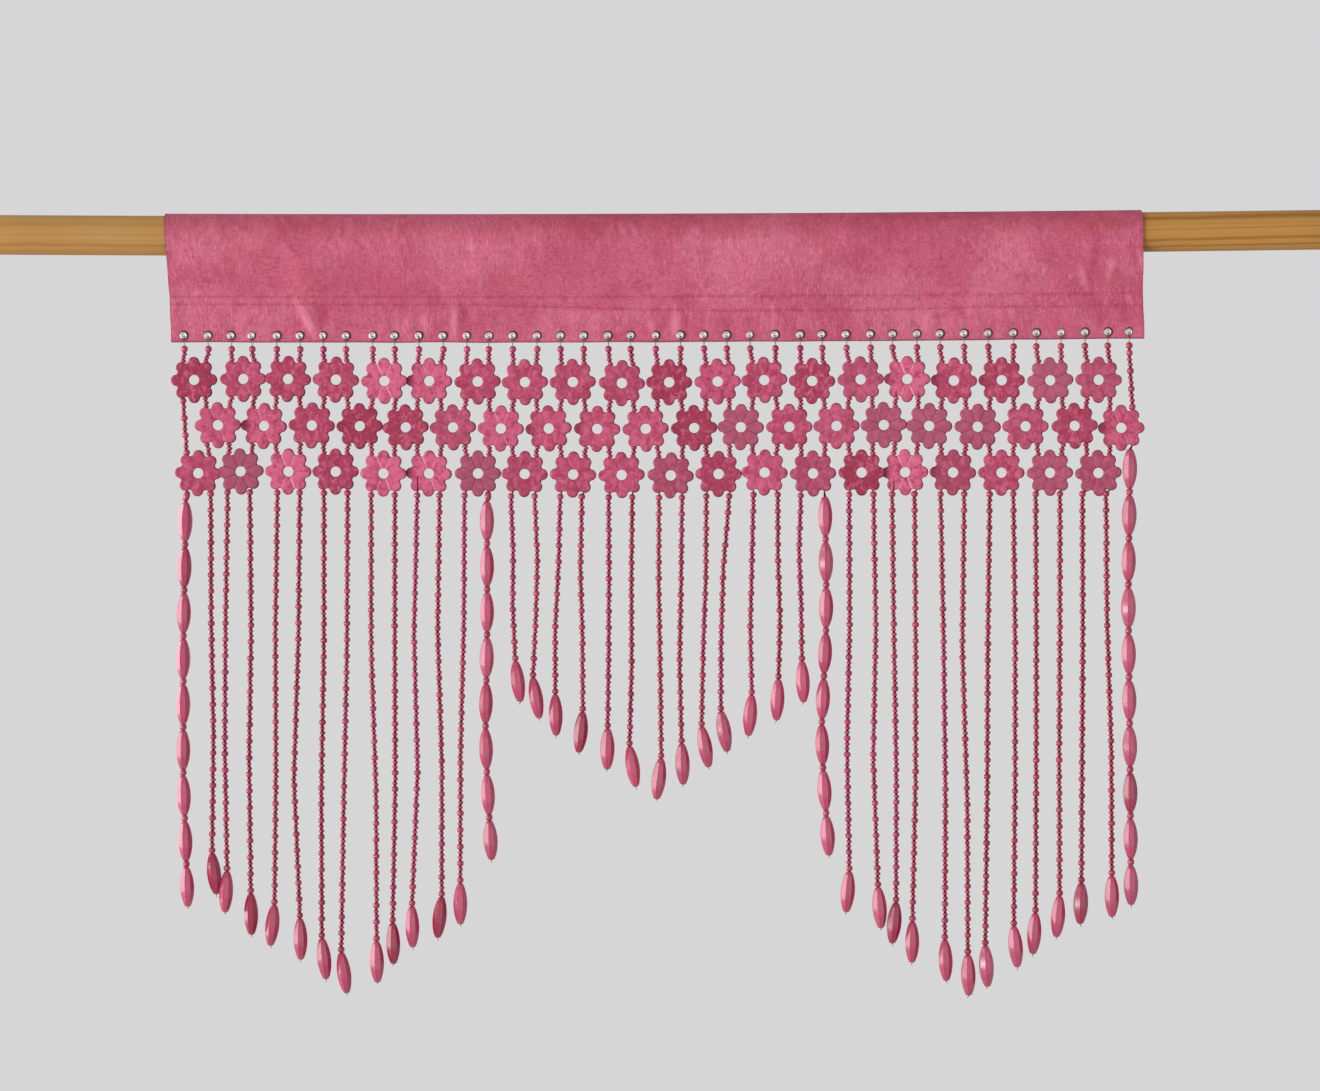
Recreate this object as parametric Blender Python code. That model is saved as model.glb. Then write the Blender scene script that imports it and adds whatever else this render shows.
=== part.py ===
"""Beaded valance hanging from a round wooden pole.

A cotton band is folded over the pole and sewn into a pocket. Metal eyelets run along its
double hem, and one string of beads hangs from each. Three staggered rows of flowers join
neighbouring strings, and an oval drop ends each string, in a hemline of three points.

Metres, +Z up. The origin is the centre of the pole's left end face, +X runs along the pole
and the valance faces -Y. Heights are given as drops below the pole's axis.
"""

import math
from collections import namedtuple

import bmesh
import bpy
from mathutils import Matrix, Vector

MM = 0.001

# Driving dimensions
POLE_LENGTH = 1.110
POLE_R = 0.016
POLE_BOW = 0.0029  # how far the middle of the dowel lies below its ends
GAP = 0.0003  # between pieces that touch
CLOTH = 0.0015
BAND_LEFT = 0.158
BAND_WIDTH = 0.7865
BAND_LEAN = 0.0025  # how far the hem is shifted sideways from the fold
BAND_DROP = 0.0851
SEAM_DROP = 0.0493
POCKET_BELLY = 0.0015  # how far the slack pocket bulges from a taut one

EYELET_RISE = 0.0046  # from the lower edge to an eyelet's centre
EYELET_R = 0.0039
EYELET_HOLE_R = 0.00225
EYELET_BARREL_R = 0.0027
EYELET_LIP = 0.0007
EYELET_FIT = 0.00036  # between a barrel and the corners of its hole

STRING_COUNT = 41
STRING_PITCH = 0.0191
FIRST_STRING = 0.1708
THREAD_R = 0.0005
BEAD_R = 0.0021  # the outer form of a string of small round beads
LATTICE_R = 0.0015  # the outer form of the smaller beads between flowers
FIRST_BEAD_DROP = 0.0036  # below the lower edge
STRING_TOP_DROP = 0.2120  # where the free part of a string starts

DROP_LENGTH = 0.0325
OVAL_PITCH = 0.0369
OVAL_SHOULDER = 0.26  # of an oval's length, from its end to the ring where it is nearly full
OVAL_SHOULDER_R = 0.0050

FLOWER_R = 0.01885
FLOWER_NOTCH_R = 0.0148
FLOWER_PETALS = 8
FLOWER_THICK = 0.0040
FLOWER_CHANNEL = 0.0091  # from a flower's centre to each of its two strings
FLOWER_STAGGER = 0.0003  # odd flowers lie this far forward and even ones this far back

POLE_SIDES = 24
POLE_BAYS = 10
BAND_BAYS = 22
FOLD_STEPS = 6  # on each side of the fold over the pole
PANEL_STEPS = 3
EYELET_SIDES = 8
PUNCH_LENGTH = 0.012
POLE_SMOOTH = math.radians(30)
CLOTH_SMOOTH = math.radians(50)
TRIM_SMOOTH = math.radians(40)

# Strings. Sideways places are millimetres from the string's own line, at its eyelet, at the
# top, two places down and the end of its free part. Swing is the drop's tilt in degrees and
# drop the millimetres from the pole's axis to its tip.
String = namedtuple("String", "eyelet top upper lower end swing drop")
STRINGS = (
    String(0, 1, -1.5, -2, 1.5, 0, 542),
    String(0.5, 2, 2, 3.5, 2, 6, 532),
    String(0, -3.5, -5.5, -6.5, -5, -3, 546.5),
    String(-2.5, -4.5, -4, -6, -5, 1, 564.5),
    String(-1, -1.5, -3.5, -3.5, -5, -6, 573.5),
    String(-1.5, -2.5, -4, -8, -3.5, 1, 584.5),
    String(-2, -2, -2.5, -5, -5, 6, 600.5),
    String(-2.5, -2, -3, -6, -8.5, 8, 612),
    String(0, -2, -2.5, 1, 1, 1, 603),
    String(-1.5, -2, -2.5, -2.5, -5, 1, 588),
    String(-1, -3, -6, -3.5, -8.5, 1, 574.5),
    String(-0.5, -4, -6, -3, -3.5, -6, 567),
    String(-0.5, -3, -4, -7, -7.5, 0, 556),
    String(-1.5, -4, -4, -6, -1, 0, 504),
    String(-1.5, -3.5, -2, -2.5, -0.5, 7, 376.5),
    String(-1, -3.5, -1.5, -3, -5.5, 9, 390),
    String(-1, -2, -3.5, -6.5, -6.5, 1, 403.5),
    String(-1.5, -3.5, -5, -3.5, -3.5, -6, 417.5),
    String(-1, -1, -1, -1.5, -2.5, -1, 431),
    String(-1.5, -1, -2, -2, -4, 9, 445.5),
    String(-0.5, 1.5, 1, 2, 2.5, -7, 455.5),
    String(0.5, 1, 0, -1.5, 0, 2, 443.5),
    String(0, 1.5, 1, -1.5, -3, 10, 430),
    String(-0.5, 1, -4, -6, -6.5, 9, 417.5),
    String(-1, 1.5, 0, -1.5, -0.5, -5, 404.5),
    String(0.5, 2, 2, 3.5, 2, -3, 392),
    String(1.5, 1.5, 0, 1.5, 2, 2, 377.5),
    String(0, 2, 3, -2, 4.5, 0, 501.5),
    String(0.5, 2.5, 2.5, 0, 1.5, -5, 547.5),
    String(1, 3, 4.5, 2, 5.5, 4, 560.5),
    String(0, -1, 0, 1.5, 1, -6, 573),
    String(0.5, -2, -1.5, -2, -5, -1, 588.5),
    String(0, 0, 2, 3, 2, 2, 603.5),
    String(0.5, 0, -2, 1.5, 1.5, 1, 615.5),
    String(0.5, 1.5, -0.5, -1.5, -3.5, 3, 608.5),
    String(2, 1.5, 2.5, 2, 0.5, 5, 593),
    String(1.5, 0.5, 0.5, 0, -1, -4, 582.5),
    String(2.5, 1, 0.5, -0.5, -0.5, -5, 569),
    String(2.5, 0, 0, -1, -2, -2, 558.5),
    String(2, 0, 0.5, 3.5, 3.5, 0, 553),
    String(0, 0.5, -1.5, -0.5, 0, 0, 543.5),
)
OVAL_STRINGS = {1: 9, 14: 8, 28: 8, 41: 10}  # strings of long oval beads, and their ovals

# Rows of flowers. Each starts at a string and joins pairs of strings. Aside and lower are
# millimetres by which a flower lies to the right of and below its even place.
FlowerRow = namedtuple("FlowerRow", "first_string drop aside lower")
FLOWER_ROWS = (
    FlowerRow(
        1,
        0.1176,
        (-1.5, 0, -2, -1.5, -0.5, -2.5, -1.5, -1.5, -1, 0.5, 0.5, 1.5, 1, 1.5, 2.5, 2, 1.5, 2, 3, 4),
        (-1, -2, -2, -1.5, -0.5, -0.5, 0, 0.5, 0.5, 1.5, 1, 0.5, -0.5, 0.5, -0.5, -0.5, 1, 1, 1.5, 1.5),
    ),
    FlowerRow(
        2,
        0.1551,
        (-1.5, -2.5, -2, -1.5, -2.5, -2.5, -2, -1.5, -0.5, 0.5, 1.5, 1, 2, 2, 2, 0.5, 1.5, 2, 3.5, 3),
        (-2, -1.5, -2, -1.5, -0.5, -0.5, 0.5, 0.5, 1, 1, 0.5, 0, 0, -0.5, -1, 0, 1, 1, 1, 3),
    ),
    FlowerRow(
        1,
        0.1924,
        (1.5, -2.5, -2, -2, -1.5, -3, -1.5, -2, -1, 0, 1.5, 2, 1, 2, 3, 0, 0.5, 1.5, 2.5, 3.5),
        (-0.5, -2, -2, -2, -0.5, -0.5, -0.5, 0, 0.5, 1, 1.5, 0.5, -0.5, 0.5, 0, 0, 0.5, 1, 1.5, 2),
    ),
)

# Soft folds of the pocket's front: millimetres from the band's left edge, half width, how far
# it stands out, and how far its foot lies to the right of its head.
Fold = namedtuple("Fold", "place half_width out slant")
FOLDS = (
    Fold(112, 30, 0.9, 12),
    Fold(255, 26, 1.2, -8),
    Fold(378, 34, 0.8, 22),
    Fold(520, 40, 0.7, -10),
    Fold(645, 36, 1.0, 14),
    Fold(742, 24, 1.3, -6),
)
HEM_WAVE = 0.0009  # how far the hem swings forward and back
HEM_WAVE_LENGTH = 0.29
HEM_WAVE_START = 0.8  # radians into its swing at the band's left edge
FOLD_FADE = 2.2  # how quickly a fold dies away towards the pole and the seam

# Finishes: colour, roughness, metallic
FINISHES = {
    "pine": ((0.50, 0.29, 0.10), 0.55, 0.0),
    "rose_cotton": ((0.56, 0.11, 0.18), 0.90, 0.0),
    "bright_steel": ((0.80, 0.79, 0.76), 0.25, 1.0),
    "rose_beads": ((0.42, 0.05, 0.14), 0.30, 0.0),
}


def clear_scene():
    for item in list(bpy.data.objects):
        bpy.data.objects.remove(item, do_unlink=True)


def new_collection(name):
    made = bpy.data.collections.new(name)
    bpy.context.scene.collection.children.link(made)
    return made


def new_material(name):
    colour, roughness, metallic = FINISHES[name]
    made = bpy.data.materials.new(name)
    made.use_nodes = True
    shader = made.node_tree.nodes["Principled BSDF"]
    shader.inputs["Base Color"].default_value = (*colour, 1.0)
    shader.inputs["Roughness"].default_value = roughness
    shader.inputs["Metallic"].default_value = metallic
    return made


def add_piece(name, data, collection, material=None):
    piece = bpy.data.objects.new(name, data)
    collection.objects.link(piece)
    if material:
        data.materials.append(material)
    return piece


def finish_mesh(bm, name, smooth_angle=None):
    """A mesh from a bmesh, with its faces turned outwards and its round parts shaded smooth."""
    bmesh.ops.recalc_face_normals(bm, faces=bm.faces)
    mesh = bpy.data.meshes.new(name)
    bm.to_mesh(mesh)
    bm.free()
    if smooth_angle is not None:
        mesh.shade_smooth()
        mesh.set_sharp_from_angle(angle=smooth_angle)
    return mesh


def curve_to_bmesh(curve):
    """A curve's evaluated mesh with its loose caps welded, and the curve removed."""
    holder = bpy.data.objects.new("guide", curve)
    bpy.context.scene.collection.objects.link(holder)
    bpy.context.view_layer.update()
    graph = bpy.context.evaluated_depsgraph_get()
    mesh = bpy.data.meshes.new_from_object(holder.evaluated_get(graph))
    bm = bmesh.new()
    bm.from_mesh(mesh)
    bmesh.ops.remove_doubles(bm, verts=bm.verts, dist=1e-6)
    bpy.data.meshes.remove(mesh)
    bpy.data.objects.remove(holder, do_unlink=True)
    bpy.data.curves.remove(curve)
    return bm


def cut_into_bays(bm, start, length, bays):
    """Rings of edges across a long piece, so that it can bend along X."""
    for k in range(1, bays):
        everything = bm.verts[:] + bm.edges[:] + bm.faces[:]
        place = Vector((start + length * k / bays, 0, 0))
        bmesh.ops.bisect_plane(bm, geom=everything, plane_co=place, plane_no=(1, 0, 0))


def axis_z(x):
    """The height of the bowed pole's axis."""
    along = x / POLE_LENGTH
    return -4 * POLE_BOW * along * (1 - along)


def smooth_step(value):
    value = min(1.0, max(0.0, value))
    return value * value * (3 - 2 * value)


def hem_y(x):
    """How far the hem swings forward or back, straight between the band's bays."""
    bay = BAND_WIDTH / BAND_BAYS
    low = math.floor((x - BAND_LEFT) / bay)
    share = (x - BAND_LEFT) / bay - low
    turns = [math.tau * (low + k) * bay / HEM_WAVE_LENGTH + HEM_WAVE_START for k in (0, 1)]
    before, after = [HEM_WAVE * math.sin(turn) for turn in turns]
    return before + share * (after - before)


def pocket_fold(x, drop):
    """How far the pocket's front stands out at a place and a drop below the axis."""
    share = drop / SEAM_DROP
    out = 0.0
    for fold in FOLDS:
        centre = BAND_LEFT + fold.place * MM + fold.slant * MM * (share - 0.5)
        off = (x - centre) / (fold.half_width * MM)
        out += fold.out * MM * math.exp(-off * off)
    return out * smooth_step(FOLD_FADE * share) * smooth_step(FOLD_FADE * (1 - share))


def string_line(number):
    return FIRST_STRING + (number - 1) * STRING_PITCH


def eyelet_place(number):
    x = string_line(number) + STRINGS[number - 1].eyelet * MM
    return Vector((x, hem_y(x), axis_z(x) - BAND_DROP + EYELET_RISE))


# The pole


def build_pole(collection):
    bm = bmesh.new()
    bmesh.ops.create_cone(
        bm,
        cap_ends=True,
        segments=POLE_SIDES,
        radius1=POLE_R,
        radius2=POLE_R,
        depth=POLE_LENGTH,
        matrix=Matrix.Translation((POLE_LENGTH / 2, 0, 0)) @ Matrix.Rotation(math.pi / 2, 4, "Y"),
    )
    cut_into_bays(bm, 0, POLE_LENGTH, POLE_BAYS)
    for vert in bm.verts:
        vert.co.z += axis_z(vert.co.x)
    mesh = finish_mesh(bm, "pole", POLE_SMOOTH)
    add_piece("pole", mesh, collection, new_material("pine"))


# The band


def half_loop(radius, foot_y):
    """One side of the pocket's outline, as (y, z) from beside the top of the pole to the seam.

    The cloth follows the pole to where the taut line to the seam leaves it, and the panel
    below bulges a little outside that line.
    """
    to_foot = math.hypot(foot_y, SEAM_DROP)
    leave = math.pi / 2 + math.atan2(foot_y, SEAM_DROP) + math.pi - math.acos(radius / to_foot)
    step = (leave - math.pi / 2) / FOLD_STEPS
    ring = radius / math.cos(step / 2)
    outline = []
    for k in range(1, FOLD_STEPS + 1):
        angle = math.pi / 2 + k * step
        outline.append(Vector((ring * math.cos(angle), ring * math.sin(angle))))
    last, foot = outline[-1], Vector((-foot_y, -SEAM_DROP))
    outward = (foot - last).orthogonal().normalized()
    outward *= -math.copysign(1, outward.x)
    for k in range(1, PANEL_STEPS):
        share = k / PANEL_STEPS
        outline.append(last.lerp(foot, share) + outward * POCKET_BELLY * math.sin(math.pi * share))
    outline.append(foot)
    return outline


def mirrored(outline):
    return [Vector((-point.x, point.y)) for point in reversed(outline)]


def band_outlines():
    """The outer outline and that of the hollow pocket, each a closed loop of (y, z)."""
    outer_r = POLE_R + GAP + CLOTH
    inner_r = POLE_R + GAP
    front = half_loop(outer_r, CLOTH)
    hem_middle = Vector((-CLOTH, -(SEAM_DROP + BAND_DROP) / 2))
    front += [hem_middle, Vector((-CLOTH, -BAND_DROP))]
    outer = [Vector((0, outer_r)), *front, *mirrored(front)]
    panel = half_loop(inner_r, 0)
    step = math.atan2(-panel[0].x, panel[0].y) / 2
    hollow = [Vector((0, inner_r / math.cos(step))), *panel, *mirrored(panel[:-1])]
    return outer, hollow


def band_sheet():
    """The folded cloth, its outline filled and drawn out along the pole, then folded softly."""
    curve = bpy.data.curves.new("band_outline", "CURVE")
    curve.dimensions = "2D"
    curve.fill_mode = "BOTH"
    curve.extrude = BAND_WIDTH / 2
    for outline in band_outlines():
        spline = curve.splines.new("POLY")
        spline.points.add(len(outline) - 1)
        for point, place in zip(spline.points, outline):
            point.co = (*place, 0, 1)
        spline.use_cyclic_u = True
    bm = curve_to_bmesh(curve)
    middle = Matrix.Translation((BAND_LEFT + BAND_WIDTH / 2, 0, 0))
    upright = middle @ Matrix(((0, 0, 1), (1, 0, 0), (0, 1, 0))).to_4x4()
    bmesh.ops.transform(bm, matrix=upright, verts=bm.verts)
    cut_into_bays(bm, BAND_LEFT, BAND_WIDTH, BAND_BAYS)
    for vert in bm.verts:
        x, y, z = vert.co
        hung = smooth_step(-z / SEAM_DROP)
        if z < 0 and y < 0:
            vert.co.y -= pocket_fold(x, -z)
        vert.co.y += hem_y(x) * hung
        vert.co.z += axis_z(x)
        vert.co.x += BAND_LEAN * max(0.0, -z) / BAND_DROP
    return finish_mesh(bm, "band", CLOTH_SMOOTH)


def eyelet_punches():
    """One cutter through the hem for every eyelet."""
    bm = bmesh.new()
    for number in range(1, STRING_COUNT + 1):
        bmesh.ops.create_cone(
            bm,
            cap_ends=True,
            segments=EYELET_SIDES,
            radius1=EYELET_BARREL_R + EYELET_FIT,
            radius2=EYELET_BARREL_R + EYELET_FIT,
            depth=PUNCH_LENGTH,
            matrix=Matrix.Translation(eyelet_place(number)) @ Matrix.Rotation(math.pi / 2, 4, "X"),
        )
    return finish_mesh(bm, "eyelet_punches")


def build_band(collection, cutters):
    band = add_piece("band", band_sheet(), collection, new_material("rose_cotton"))
    punches = add_piece("eyelet_punches", eyelet_punches(), cutters)
    punches.hide_render = True
    punches.display_type = "WIRE"
    cut = band.modifiers.new("eyelet holes", "BOOLEAN")
    cut.operation = "DIFFERENCE"
    cut.solver = "EXACT"
    cut.object = punches


# The eyelets


def eyelet_mesh():
    """A barrel through the hem with a lip turned over on each face, turned about Y."""
    lip = CLOTH + GAP
    profile = (
        (EYELET_HOLE_R, -lip - EYELET_LIP),
        (EYELET_R, -lip),
        (EYELET_BARREL_R, -lip),
        (EYELET_BARREL_R, lip),
        (EYELET_R, lip),
        (EYELET_HOLE_R, lip + EYELET_LIP),
    )
    bm = bmesh.new()
    corners = [bm.verts.new((radius, y, 0)) for radius, y in profile]
    edges = [bm.edges.new((a, b)) for a, b in zip(corners, corners[1:] + corners[:1])]
    bmesh.ops.spin(
        bm,
        geom=corners + edges,
        axis=(0, 1, 0),
        cent=(0, 0, 0),
        steps=EYELET_SIDES,
        angle=math.tau,
        use_merge=True,
    )
    bmesh.ops.remove_doubles(bm, verts=bm.verts, dist=1e-6)
    return finish_mesh(bm, "eyelet", TRIM_SMOOTH)


def build_eyelets(collection):
    mesh = eyelet_mesh()
    mesh.materials.append(new_material("bright_steel"))
    for number in range(1, STRING_COUNT + 1):
        eyelet = add_piece(f"eyelet_{number:02d}", mesh, collection)
        eyelet.location = eyelet_place(number)


# The string curtain


def flower_place(row, index):
    number = row.first_string + 2 * index
    x = string_line(number) + STRING_PITCH / 2 + row.aside[index] * MM
    forward = FLOWER_STAGGER if index % 2 else -FLOWER_STAGGER
    return Vector((x, forward, axis_z(x) - row.drop - row.lower[index] * MM))


def lattice_stops(number):
    """Where a string passes through flowers, top to bottom."""
    stops = []
    for row in FLOWER_ROWS:
        index, side = divmod(number - row.first_string, 2)
        if 0 <= index < len(row.aside):
            place = flower_place(row, index)
            channel = FLOWER_CHANNEL if side else -FLOWER_CHANNEL
            stops.append(Vector((place.x + channel, 0, place.z)))
    return stops


def thread_hook(number):
    """The thread through its eyelet and down over the lower edge, as (place, radius)."""
    eye = eyelet_place(number)
    seat = EYELET_HOLE_R * math.cos(math.pi / EYELET_SIDES) - GAP - THREAD_R
    reach = CLOTH + GAP + EYELET_LIP + GAP + 2 * THREAD_R
    edge = eye.z - EYELET_RISE
    return [
        (Vector((eye.x, eye.y + reach, eye.z - seat)), THREAD_R),
        (Vector((eye.x, eye.y - reach, eye.z - seat)), THREAD_R),
        (Vector((eye.x, eye.y - reach, edge - CLOTH)), THREAD_R),
        (Vector((eye.x, 0, edge - FIRST_BEAD_DROP)), BEAD_R),
    ]


def free_point(number, share, drop):
    """A place on the free part of a string, share of the way down it."""
    row = STRINGS[number - 1]
    places = (row.top, row.upper, row.lower, row.end)
    at = min(share * (len(places) - 1), len(places) - 1)
    low = min(int(at), len(places) - 2)
    aside = places[low] + (at - low) * (places[low + 1] - places[low])
    x = string_line(number) + aside * MM
    return Vector((x, 0, axis_z(x) - drop))


def oval_rings(top, down):
    """The rings of one long bead from its upper neck, as (place, radius)."""
    shares = (
        (0, LATTICE_R),
        (OVAL_SHOULDER, OVAL_SHOULDER_R),
        (1 - OVAL_SHOULDER, OVAL_SHOULDER_R),
    )
    return [(top + down * share * DROP_LENGTH, radius) for share, radius in shares]


def small_bead_path(number):
    row = STRINGS[number - 1]
    bottom = row.drop * MM - DROP_LENGTH
    path = []
    for share in (0, 1 / 3, 2 / 3, 1):
        drop = STRING_TOP_DROP + share * (bottom - STRING_TOP_DROP)
        path.append((free_point(number, share, drop), BEAD_R if share else LATTICE_R))
    swing = math.radians(row.swing)
    down = Vector((math.sin(swing), 0, -math.cos(swing)))
    top = path[-1][0]
    path += oval_rings(top, down)[1:]
    path.append((top + down * DROP_LENGTH, THREAD_R))
    return path


def oval_path(number):
    row = STRINGS[number - 1]
    count = OVAL_STRINGS[number]
    bottom = row.drop * MM
    first = bottom - DROP_LENGTH - (count - 1) * OVAL_PITCH
    path = []
    for k in range(count):
        drop = first + k * OVAL_PITCH
        top = free_point(number, k / count, drop)
        below = free_point(number, (k + 1) / count, drop + OVAL_PITCH)
        path += oval_rings(top, (below - top).normalized())
    last = path[-1][0]
    path.append((last + Vector((0, 0, -OVAL_SHOULDER * DROP_LENGTH)), THREAD_R))
    return path


def string_path(number):
    path = thread_hook(number)
    path += [(stop, LATTICE_R) for stop in lattice_stops(number)]
    path += oval_path(number) if number in OVAL_STRINGS else small_bead_path(number)
    return path


def strings_mesh():
    """Every string as one tapered tube, four-sided, or six-sided where it carries ovals."""
    bm = bmesh.new()
    for resolution, ovals in ((0, False), (1, True)):
        curve = bpy.data.curves.new("strings", "CURVE")
        curve.dimensions = "3D"
        curve.bevel_depth = 1.0
        curve.bevel_resolution = resolution
        curve.use_fill_caps = True
        for number in range(1, STRING_COUNT + 1):
            if (number in OVAL_STRINGS) != ovals:
                continue
            path = string_path(number)
            spline = curve.splines.new("POLY")
            spline.points.add(len(path) - 1)
            for point, (place, radius) in zip(spline.points, path):
                point.co = (*place, 1)
                point.radius = radius
        tubes = curve_to_bmesh(curve)
        mesh = bpy.data.meshes.new("tubes")
        tubes.to_mesh(mesh)
        tubes.free()
        bm.from_mesh(mesh)
        bpy.data.meshes.remove(mesh)
    return finish_mesh(bm, "bead_curtain", TRIM_SMOOTH)


def flowers_mesh(odd):
    """Every other flower of each row: an eight-petal outline with a flat front and back."""
    bm = bmesh.new()
    for row in FLOWER_ROWS:
        for index in range(len(row.aside)):
            if index % 2 != odd:
                continue
            before = set(bm.verts)
            disc = bmesh.ops.create_circle(
                bm, cap_ends=True, segments=2 * FLOWER_PETALS, radius=FLOWER_R
            )
            for k, vert in enumerate(disc["verts"]):
                if k % 2:
                    vert.co *= FLOWER_NOTCH_R / FLOWER_R
            face = disc["verts"][0].link_faces[0]
            made = bmesh.ops.extrude_face_region(bm, geom=[face])["geom"]
            raised = [item for item in made if isinstance(item, bmesh.types.BMVert)]
            bmesh.ops.translate(bm, vec=(0, 0, FLOWER_THICK), verts=raised)
            place = (
                Matrix.Translation(flower_place(row, index))
                @ Matrix.Rotation(math.pi / 2, 4, "X")
                @ Matrix.Translation((0, 0, -FLOWER_THICK / 2))
            )
            fresh = [vert for vert in bm.verts if vert not in before]
            bmesh.ops.transform(bm, matrix=place, verts=fresh)
    return finish_mesh(bm, "flowers_odd" if odd else "flowers_even")


def build_bead_curtain(collection, cutters):
    curtain = add_piece("bead_curtain", strings_mesh(), collection, new_material("rose_beads"))
    for odd in (0, 1):
        flowers = add_piece("flowers_odd" if odd else "flowers_even", flowers_mesh(odd), cutters)
        flowers.hide_render = True
        flowers.display_type = "WIRE"
        join = curtain.modifiers.new(flowers.name, "BOOLEAN")
        join.operation = "UNION"
        join.solver = "EXACT"
        join.object = flowers


def build():
    clear_scene()
    valance = new_collection("beaded_valance_on_a_pole")
    cutters = new_collection("cutters")
    build_pole(valance)
    build_band(valance, cutters)
    build_eyelets(valance)
    build_bead_curtain(valance, cutters)


build()
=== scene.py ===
"""Looks of the beaded valance: dyed cotton band, eyelets, bead strings, flowers and pine pole.

Metres, +Z up. The origin is the centre of the pole's left end face, +X runs along the pole
and the valance faces -Y. Heights are given as drops below the pole's axis.
"""

import math
import random
from bisect import bisect_left
from collections import namedtuple

import bmesh
import bpy
from mathutils import Matrix, Vector, noise


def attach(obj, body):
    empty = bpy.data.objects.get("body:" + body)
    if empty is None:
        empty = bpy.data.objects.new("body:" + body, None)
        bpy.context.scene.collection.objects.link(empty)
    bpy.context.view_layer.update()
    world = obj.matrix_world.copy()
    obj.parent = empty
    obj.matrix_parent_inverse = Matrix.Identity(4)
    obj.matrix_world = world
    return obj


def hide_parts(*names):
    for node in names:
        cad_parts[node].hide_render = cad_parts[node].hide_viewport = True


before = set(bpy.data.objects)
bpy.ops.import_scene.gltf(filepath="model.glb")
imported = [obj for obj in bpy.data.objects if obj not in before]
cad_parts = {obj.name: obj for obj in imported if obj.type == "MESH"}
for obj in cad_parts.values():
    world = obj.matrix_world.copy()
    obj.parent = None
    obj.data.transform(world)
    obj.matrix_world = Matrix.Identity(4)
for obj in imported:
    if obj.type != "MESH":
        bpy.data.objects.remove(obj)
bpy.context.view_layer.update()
MM = 0.001

# Pole
POLE_LENGTH = 1.110
POLE_R = 0.016
POLE_BOW = 0.0029
POLE_SIDES = 72
POLE_BAYS = 24
POLE_EASE = 0.0012  # rounding of the ends' rims
PINE_LATE = (0.325, 0.140, 0.022)  # colour of the wood's dark lines
GRAIN_DRIFT = 0.0026  # how much lower the lines run at the left end
GRAIN_BEHIND = 0.0031  # and how much lower behind
GRAIN_WANDER = 0.006

# Dark lines of the wood: millimetres above the axis and half the width, as they show in front,
# and how dark they are at the left and the right.
YearLine = namedtuple("YearLine", "height half_width left right")
YEAR_LINES = [YearLine._make(row) for row in (
    (10.8, 3.0, 0.28, 1.00),
    (5.2, 0.7, 0.12, 0.25),
    (1.4, 1.0, 0.34, 0.60),
    (-3.0, 0.6, 0.15, 0.20),
    (-6.8, 2.0, 0.50, 0.90),
    (-12.0, 1.3, 0.10, 0.80),
)]

# Band
GAP = 0.0003
HALF_HEM = 0.0015  # from the middle of the double hem to its face
WEIGHT = 0.0008  # thickness of the cotton
BAND_LEFT = 0.158
BAND_WIDTH = 0.7865
BAND_LEAN = 0.0025
SPLAY = 0.0014  # how far the left side stands out at the fold
SPLAY_WIDTH = 0.03
SPLAY_FROM = 0.006
SPLAY_OVER = 0.022
BAND_DROP = 0.0861
SEAM_DROP = 0.0493
SECOND_SEAM_DROP = 0.0553  # at the left, where the two lines of stitches are closest
SEAM_DRIFT = 0.0056  # how much farther down the second line runs at the right
SEAM_DRIFT_FROM = 0.36
SEAM_DRIFT_OVER = 0.27
SEAM_RETURN = 0.0018  # and up again near the right side
SEAM_RETURN_FROM = 0.74
SEAM_RETURN_OVER = 0.10
SEAM_WANDER = 0.0006
SEAM_SUNK = 0.00028  # how far the stitches pull the cloth in
SEAM_SUNK_HALF = 0.0009
PUCKER = 0.00013
PUCKER_LENGTH = 0.0064
PUCKER_HALF = 0.0026
STRING_PULL = 0.00045  # how far the strings pull the hem in
SIDE_HEM = 0.0055
SIDE_PROUD = 0.00022  # how far the side hems stand out
SIDE_EASE = 0.0030
PANEL_EASE = 0.012  # from a seam to where the cloth is as uneven as in the open
CALM_TOP = 0.02  # from the top of the fold, where the cloth lies close to the pole
CALM_FOOT = 0.004
EDGE_WANDER = 0.0004
POCKET_BELLY = 0.0015
BELLY_POWER = 1.5
HEM_WAVE = 0.0009
HEM_WAVE_LENGTH = 0.29
HEM_WAVE_START = 0.8
FOLD_FADE = 2.2
DEEPEST = 0.00055  # troughs stay this shallow, so that the two layers of the hem don't meet
CREASE_REACH = 4  # half widths, past which a crease is flat
CREST_WIDER = 1.5  # how much wider the painted highlight and shade of a crease reach than the crease itself
BACK_SEED = 7.3  # makes the back's unevenness another than the front's
NEARBY = 0.0005
MERGE = 1e-6

# Steps of the outline along the fold, the pocket, the hem and the lower edge, and the spacing
# of the cloth's grid: coarse, fine, and how far from a seam or an edge it stays fine.
OUTLINE_STEPS = (40, 30, 20, 8)
FRONT_GRID = (0.0026, 0.0009, 0.0018)
BACK_GRID = (0.0060, 0.0013, 0.0013)
COLUMN_GRID = (0.0020, 0.0008, 0.0012)
ROW_RETURN = 0.022  # from the second seam to where the grid's rows are straight again

# Unevenness of the hem and of the pocket: how far it stands out, its waves a metre along the
# band and down it, and the number of its pattern.
Ripple = namedtuple("Ripple", "out along down pattern")
HEM_RIPPLES = (Ripple(0.0011, 38, 14, 1.0), Ripple(0.0005, 95, 30, 4.0))
POCKET_RIPPLES = (Ripple(0.0011, 24, 26, 2.0), Ripple(0.0005, 70, 60, 5.0))
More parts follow.
